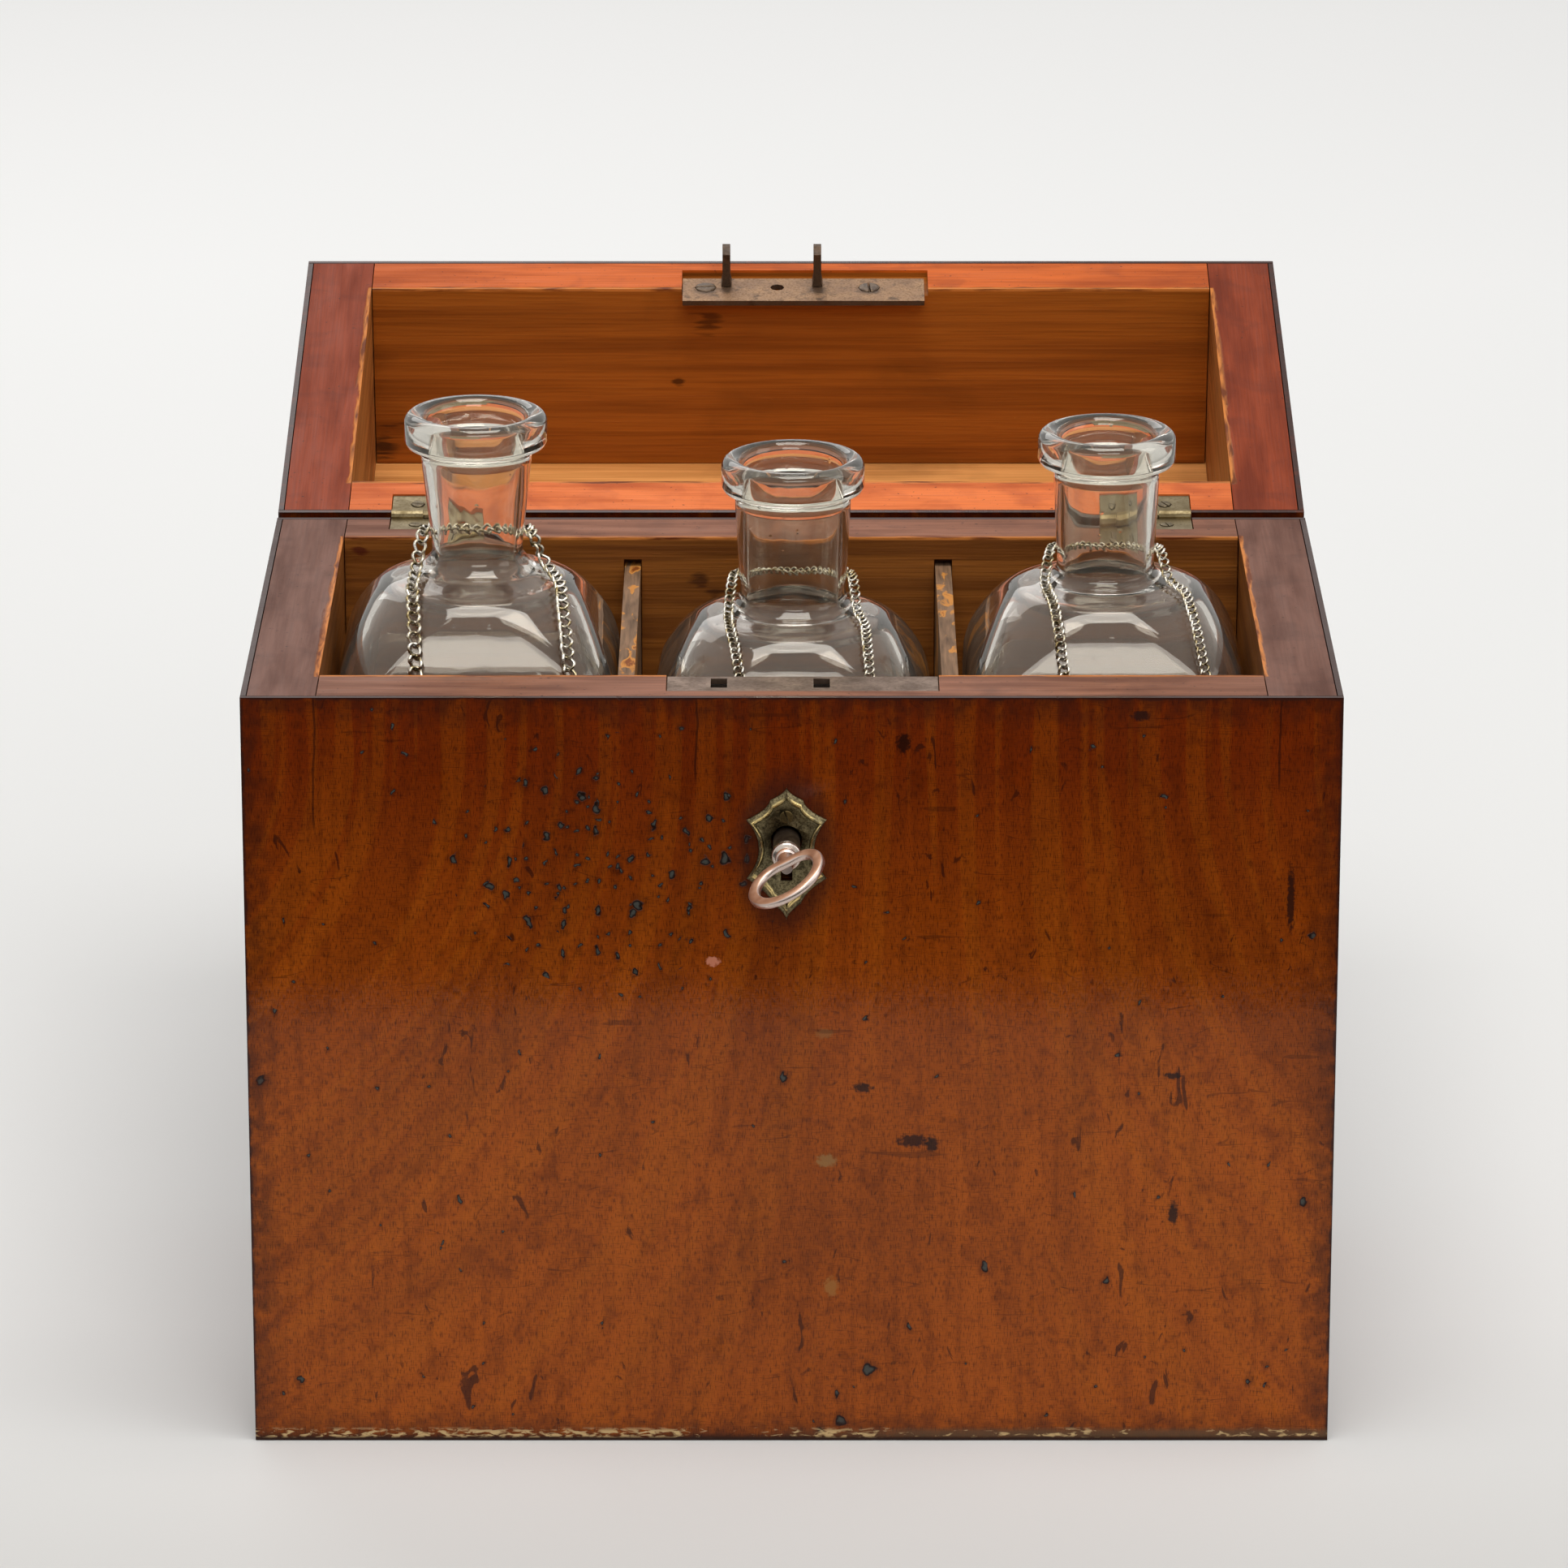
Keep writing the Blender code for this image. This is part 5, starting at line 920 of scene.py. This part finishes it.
step_front, step_rear = bit_front + BIT_CUT, bit_rear - BIT_CUT
flag = [(bit_front, foot), (bit_front, ward - half), (step_front, ward - half), (step_front, ward + half)]
flag += [(bit_front, ward + half), (bit_front, BIT_REACH), (bit_rear, BIT_REACH), (bit_rear, ward + half)]
flag += [(step_rear, ward + half), (step_rear, ward - half), (bit_rear, ward - half), (bit_rear, foot)]
half = BIT_THICKNESS / 2
rings_to_skin(bm, [[about_key @ Vector((x, y - FRONT_Y, z)) for y, z in flag] for x in (-half, half)])

filed_key, shader = material("filed_iron_key_handled", {"Metallic": 1.0})
coordinates = add("TexCoord").node.outputs
at = coordinates["Object"]
depth = add("SeparateXYZ", [at], output=1)
wear = grain(at, 0.004, 5, 0.4, 7.0)
grit = grain(at, 0.00045, 2, 0.0, 1.0)
bow_flat = about_bow.to_3x3() @ Vector((1, 0, 0))
facing = add("VectorMath", [coordinates["Normal"], bow_flat], "DOT_PRODUCT", "Value")
facing = add("Math", [facing], "ABSOLUTE")
on_bow = add("MapRange", [depth, ring_face + 0.0004, ring_face - 0.0008])
on_collar = add("MapRange", [depth, collar_face + 0.0006, collar_face])
metal = over("#6c5c4e", "#42352c", wear, 0.4, 0.62)
metal = over(metal, "#dccfc4", on_collar)
flats = over("#dccac0", over("#d8a684", "#e0b698", wear, 0.44, 0.64), facing, 0.75, 0.93)
metal = over(metal, flats, on_bow)
rough = add("MapRange", [wear, 0.35, 0.65, 0.2, 0.34])
rough = add("Math", [on_collar, -0.2, rough], "MULTIPLY_ADD")
rough = add("Math", [rough, 0.2])
satin = add("Math", [on_bow, facing], "MULTIPLY")
rough = add("Math", [satin, 0.25, rough], "MULTIPLY_ADD")
surface(shader, metal, rough, grit, 0.15, 0.0001)
key = smooth_object("filed_key", bm, filed_key, 45.0)
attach(key, "key")
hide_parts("key")


# Three mould-blown bottles of clear glass, square below, with a round neck and a thick collared lip. The
# outside is bright and a little wavy, and dust inside makes the glass faintly grey.
RING_POINTS = 96
COLLAR_BAND = 0.0099
NECK_LENGTH = 0.0290
SHOULDER_RING = 0.0252
SHOULDER = 0.0370
BOTTLE_CORNER = 0.0085
GLASS = 0.003
NECK_GLASS = 0.0022
LIP_ROUND = 0.0030
LIP_STEPS = 8
MOUTH_DEPTH = LIP_ROUND * 1.5
# From the neck outwards: how far inside the collar's rim, and how high over its lower edge
COLLAR_UNDERSIDE = ((0.0022, 0.0), (0.0007, 0.0005), (0.0, 0.0019))
FLOOR_GLASS = 0.006
FOOT_ROUND = 0.004
HEEL = (0.0012, 0.0009)
CONE_SHARES = ((0.12, 0.42), (0.42, 0.74))
DUST_SHARE = 0.3
SHOULDER_SHARES = (
    (0.06, 0.21, 0.20),
    (0.17, 0.42, 0.45),
    (0.34, 0.65, 0.70),
    (0.51, 0.83, 0.86),
    (0.68, 0.94, 0.95),
    (0.86, 0.99, 1.0),
    (1.0, 1.0, 1.0),
)
# Of each bottle: the neck at its foot, the neck under the lip, and the height of the cone under the neck
NECKS = {
    "left": (0.0128, 0.0158, 0.0090),
    "middle": (0.0150, 0.0164, 0.0066),
    "right": (0.0137, 0.0150, 0.0058),
}


def spline(points, steps):
    """A smooth open curve through points of any size, with steps between each two."""
    rows = [points[0], *points, points[-1]]
    curve = []
    for a, b, c, d in zip(rows, rows[1:], rows[2:], rows[3:]):
        for step in range(steps):
            t = step / steps
            point = []
            for p, q, r, s in zip(a, b, c, d):
                bend = (2 * p - 5 * q + 4 * r - s) * t**2 + (3 * q - p - 3 * r + s) * t**3
                point.append((2 * q + (r - p) * t + bend) / 2)
            curve.append(tuple(point))
    return curve + [tuple(points[-1])]


def rounded_square(half, corner, z, centre_x):
    """A ring: a square with round corners, or a circle where the corner is as large as half the width."""
    corner = min(corner, half)
    each, flat = RING_POINTS // 4, half - min(corner, half)
    ring = []
    for quarter, (sx, sy) in enumerate(((1, 1), (-1, 1), (-1, -1), (1, -1))):
        for i in range(each):
            turn = math.radians(90) * (quarter + i / (each - 1) if flat > 1e-6 else quarter + i / each)
            x = centre_x + sx * flat + corner * math.cos(turn)
            ring.append(Vector((x, sy * flat + corner * math.sin(turn), z)))
    return ring


def mould_blown_glass(name, clear, tint):
    """Clear glass. The share of light that passes is a little under one where dust lies inside."""
    made, shader = material(name, {"Transmission Weight": clear, "IOR": 1.5, "Coat Weight": 0.4})
    fill(shader, {"Specular IOR Level": 0.75, "Specular Tint": "#f3e9d8"})
    at = add("TexCoord", output="Object")
    waves = grain(at, (0.022, 0.022, 0.033), 2, 0.6, 3.0)
    seeds = add("TexVoronoi", {"Vector": at, "Scale": 130.0})
    seeds = add("MapRange", {0: seeds, 1: 0.09, 2: 0.03, 4: 0.5})
    height = add("Math", [waves, 1.5, seeds], "MULTIPLY_ADD")
    film = grain(at, (0.011, 0.011, 0.016), 6, 0.8, 8.0)
    rough = add("MapRange", [film, 0.5, 0.75, 0.01, 0.08])
    surface(shader, tint, rough, height, 0.14, 0.001)
    return made


neck_glass = mould_blown_glass("mould_blown_clear_glass", 0.985, "#f7f4ea")
dusty_glass = mould_blown_glass("mould_blown_dusty_glass", 0.97, "#eee9e0")
# Of each: the shoulder's (half width, corner, height) levels from the neck down to the wall, the height of
# the neck's foot, half the width and the middle
bottles = {}
for side, (neck, throat, cone) in NECKS.items():
    low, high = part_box(f"{side}_bottle")
    centre_x = middle_of(f"{side}_bottle")[0]
    half = (high.x - low.x) / 2
    stand, lip = low.z, high.z
    under = lip - COLLAR_BAND
    foot = under - NECK_LENGTH
    levels = []
    for out, down in CONE_SHARES:
        radius = neck + (SHOULDER_RING - neck) * out
        levels.append((radius, radius, foot - cone * down))
    levels.append((SHOULDER_RING, SHOULDER_RING, foot - cone))
    for down, out, square in SHOULDER_SHARES:
        wide = SHOULDER_RING + (half - SHOULDER_RING) * out
        levels.append((wide, wide + (BOTTLE_CORNER - wide) * square, foot - cone - SHOULDER * down))
    bottles[side] = (levels, foot, half, centre_x)

    outside = [(half - FOOT_ROUND, BOTTLE_CORNER - FOOT_ROUND / 2, stand)]
    outside.append((half - HEEL[0], BOTTLE_CORNER, stand + HEEL[1]))
    outside.append((half, BOTTLE_CORNER, stand + FOOT_ROUND))
    third = (neck * 2 + throat) / 3
    neck_run = [(neck, neck, foot), (third, third, foot + NECK_LENGTH * 0.34)]
    neck_run.append((throat, throat, under - 0.0008))
    outside += spline(levels[::-1] + neck_run, 4)
    points = [point.co for point in nodes[f"{side}_bottle"].data.vertices]
    collar = max(abs(point.x - centre_x) for point in points if point.z > lip - COLLAR_BAND * 0.6)
    for inwards, rise in COLLAR_UNDERSIDE:
        outside.append((collar - inwards, collar - inwards, under + rise))
    mouth, bore = collar - LIP_ROUND, throat - NECK_GLASS
    inside = []
    for i in range(1, LIP_STEPS + 1):
        turn = math.radians(90) * i / LIP_STEPS
        radius = collar - LIP_ROUND * (1 - math.cos(turn))
        outside.append((radius, radius, lip - LIP_ROUND * (1 - math.sin(turn))))
        radius = mouth - (mouth - bore) * math.sin(turn)
        inside.append((radius, radius, lip - MOUTH_DEPTH * (1 - math.cos(turn))))
    narrow = neck - NECK_GLASS
    inner = [(bore, bore, lip - MOUTH_DEPTH - 0.001), (narrow, narrow, foot - GLASS / 2)]
    for wide, corner, z in levels[1:]:
        within = wide - (GLASS / 2 if corner == wide else GLASS)
        inner.append((within, min(max(corner - GLASS, GLASS), within), z - GLASS * 0.75))
    floor = stand + FLOOR_GLASS
    inner.append((half - GLASS, BOTTLE_CORNER - GLASS, floor + FOOT_ROUND))
    inside += spline(inner, 4)
    inside.append((half - GLASS - HEEL[0], BOTTLE_CORNER - GLASS, floor + 0.0010))
    inside.append((half - GLASS - FOOT_ROUND, BOTTLE_CORNER - GLASS, floor))
    bm = bmesh.new()
    rings_to_skin(bm, [rounded_square(wide, corner, z, centre_x) for wide, corner, z in outside + inside])
    bottle = smooth_object(f"{side}_blown_bottle", bm, neck_glass, 70.0)
    bottle.data.materials.append(dusty_glass)
    for polygon in bottle.data.polygons:
        polygon.material_index = 1 if polygon.center.z < foot - cone * DUST_SHARE else 0
    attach(bottle, f"{side}_bottle_with_chain")
    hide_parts(f"{side}_bottle")


# A curb chain of silver-plated wire hangs round each neck. Its links are ovals of round wire, closed by
# hand, bright where they rub and yellow-grey where the plate has worn.

# Of each: the step from link to link, wire, width of a link, and where its two strands lie beside the
# neck, over the ring and at the wall, as shares of half the bottle's width. The links of the two finer
# chains are really about 1.3 mm apart, and are drawn coarser so that they show.
CHAINS = {
    "left": (0.0034, 0.00095, 0.0040, ((-1, (0.42, 0.435, 0.37)), (1, (0.49, 0.58, 0.74)))),
    "middle": (0.0021, 0.00068, 0.0034, ((-1, (0.45, 0.44, 0.25)), (1, (0.45, 0.505, 0.59)))),
    "right": (0.0022, 0.00070, 0.0034, ((-1, (0.43, 0.39, 0.24)), (1, (0.44, 0.545, 0.79)))),
}
WIRE_SIDES = 8
LINK_TWIST = math.radians(50)
LINK_SLANT = math.radians(24)
CHAIN_CLEAR = 0.0005
CHAIN_HEART_Y = 0.020
CHAIN_ON_NECK = 0.0012
CHAIN_SIDE_RISE = 0.0020
CHAIN_DROP = 0.0160
NECK_STEPS = 6
BEND_STEPS = 5
CHAIN_STEPS = 12


def front_of(half, corner, x):
    """How far forward a rounded square reaches at x from its middle."""
    beyond = max(abs(x) - (half - corner), 0)
    return half - corner + math.sqrt(max(corner**2 - beyond**2, 0))


def chain_route(side, off):
    """The closed line of a chain: round the neck, down both strands, and across in a bend at the front."""
    neck, throat, _ = NECKS[side]
    levels, foot, half_width, centre_x = bottles[side]
    points = []
    for i in range(NECK_STEPS + 1):
        turn = math.pi * i / NECK_STEPS
        up = CHAIN_ON_NECK + CHAIN_SIDE_RISE * abs(math.cos(turn))
        radius = neck + (throat - neck) * (up + off) / NECK_LENGTH + off
        points.append((centre_x + radius * math.cos(turn), radius * math.sin(turn), foot + up))
    down = []
    for sign, shares in CHAINS[side][3]:
        beside, ring, wall = [share * half_width for share in shares]
        run = levels[len(CONE_SHARES) - 1 :]
        last = len(run) - 1
        strand = []
        for i, (half, corner, z) in enumerate(run):
            above, below = run[max(i - 1, 0)], run[min(i + 1, last)]
            along = Vector((below[0] - above[0], below[2] - above[2])).normalized()
            grown, z = half - off * along.y, z + off * along.x
            x = min(beside if i == 0 else ring + (wall - ring) * (i - 1) / (last - 1), grown)
            strand.append((centre_x + sign * x, -front_of(grown, min(corner + off, grown), x), z))
        down.append(strand)
    left, right = down
    low_end = left[-1]
    wide = (right[-1][0] - low_end[0]) / 2
    bend = []
    for i in range(1, BEND_STEPS):
        turn = math.pi * i / BEND_STEPS
        x = low_end[0] + wide * (1 - math.cos(turn))
        bend.append((x, low_end[1], low_end[2] - CHAIN_DROP * math.sin(turn)))
    return points + left + bend + right[::-1]


def even_places(points, pitch):
    """Places and directions one pitch apart round a smooth closed curve through the points."""
    curve = spline([points[-1], *points, *points[:2]], CHAIN_STEPS)
    curve = [Vector(point) for point in curve[CHAIN_STEPS : -CHAIN_STEPS - 1]]
    legs = [(b - a).length for a, b in zip(curve, curve[1:] + curve[:1])]
    total = sum(legs)
    links = 2 * round(total / pitch / 2)
    places, leg, gone = [], 0, 0.0
    for n in range(links):
        want = total * n / links
        while gone + legs[leg] < want:
            gone += legs[leg]
            leg += 1
        a, b = curve[leg], curve[(leg + 1) % len(curve)]
        places.append((a.lerp(b, (want - gone) / legs[leg]), (b - a).normalized()))
    return places, total / links


def curb_link(bm, frame_at, length, width, wire):
    """One link: round wire bent to an oval, and twisted so that its ends lean one way and the other."""
    bend = (width - wire) / 2
    straight = max((length - width) / 2, 0.0)
    rings = []
    for i in range(20):
        turn = 2 * math.pi * (i + 0.5) / 20
        along, across = math.cos(turn) * bend, math.sin(turn) * bend
        along += math.copysign(straight, along)
        out = Vector((math.cos(turn), math.sin(turn), 0))
        lean = Matrix.Rotation(LINK_TWIST * along / (straight + bend), 3, "X")
        ring = []
        for k in range(WIRE_SIDES):
            spin = 2 * math.pi * k / WIRE_SIDES
            off_wire = out * (wire / 2 * math.cos(spin)) + Vector((0, 0, wire / 2 * math.sin(spin)))
            ring.append(frame_at @ (lean @ (Vector((along, across, 0)) + off_wire)))
        rings.append(ring)
    rings_to_skin(bm, rings, closed=True)


plated_chain, shader = material("silver_plated_wire", {"Metallic": 1.0})
at = add("TexCoord", output="Object")
wear = grain(at, 0.0024, 4, 0.3, 5.0)
fine = grain(at, 0.0004, 2, 0.0, 3.0)
metal = over("#f0ebe0", "#b8a884", wear, 0.42, 0.60)
metal = over(metal, "#7c6a44", wear, 0.56, 0.72)
grime_and_painted_light = add("Attribute", output=2, attribute_name="grime_and_painted_light")
# Painted shade, with grime: the inner side of each link is painted dark.
metal = over(metal, "#33291a", grime_and_painted_light, 0.35, 0.95, 0.85)
rough = add("MapRange", [fine, 0.3, 0.7, 0.2, 0.38])
fill(shader, {"Base Color": metal, "Roughness": rough})

chance = random.Random(7)
for side, (pitch, wire, width, _) in CHAINS.items():
    off = width * 0.2 + wire / 2 + CHAIN_CLEAR
    places, step = even_places(chain_route(side, off), pitch)
    levels, _, _, centre_x = bottles[side]
    heart = Vector((centre_x, CHAIN_HEART_Y, levels[-1][2]))
    bm = bmesh.new()
    for n, (here, along) in enumerate(places):
        there = places[(n + 1) % len(places)][0]
        middle, along = (here + there) / 2, (there - here).normalized()
        away = middle - heart
        up = (away - along * away.dot(along)).normalized()
        normal = Matrix.Rotation(chance.uniform(-0.15, 0.15), 3, along) @ up
        along = Matrix.Rotation(LINK_SLANT, 3, normal) @ along
        across = normal.cross(along)
        frame_at = Matrix((along, across, normal)).transposed().to_4x4()
        frame_at.translation = middle
        curb_link(bm, frame_at, step + 2.1 * wire, width, wire)
    chain = smooth_object(f"{side}_curb_chain", bm, plated_chain, 80.0)
    # Dark grime and painted shade fill the inner side of each link, where the links shade each other.
    for i, point in enumerate(chain.data.attributes.new("grime_and_painted_light", "FLOAT", "POINT").data):
        point.value = (1 - math.cos(2 * math.pi * i / WIRE_SIDES)) / 2
    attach(chain, f"{side}_bottle_with_chain")
    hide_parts(f"{side}_chain")
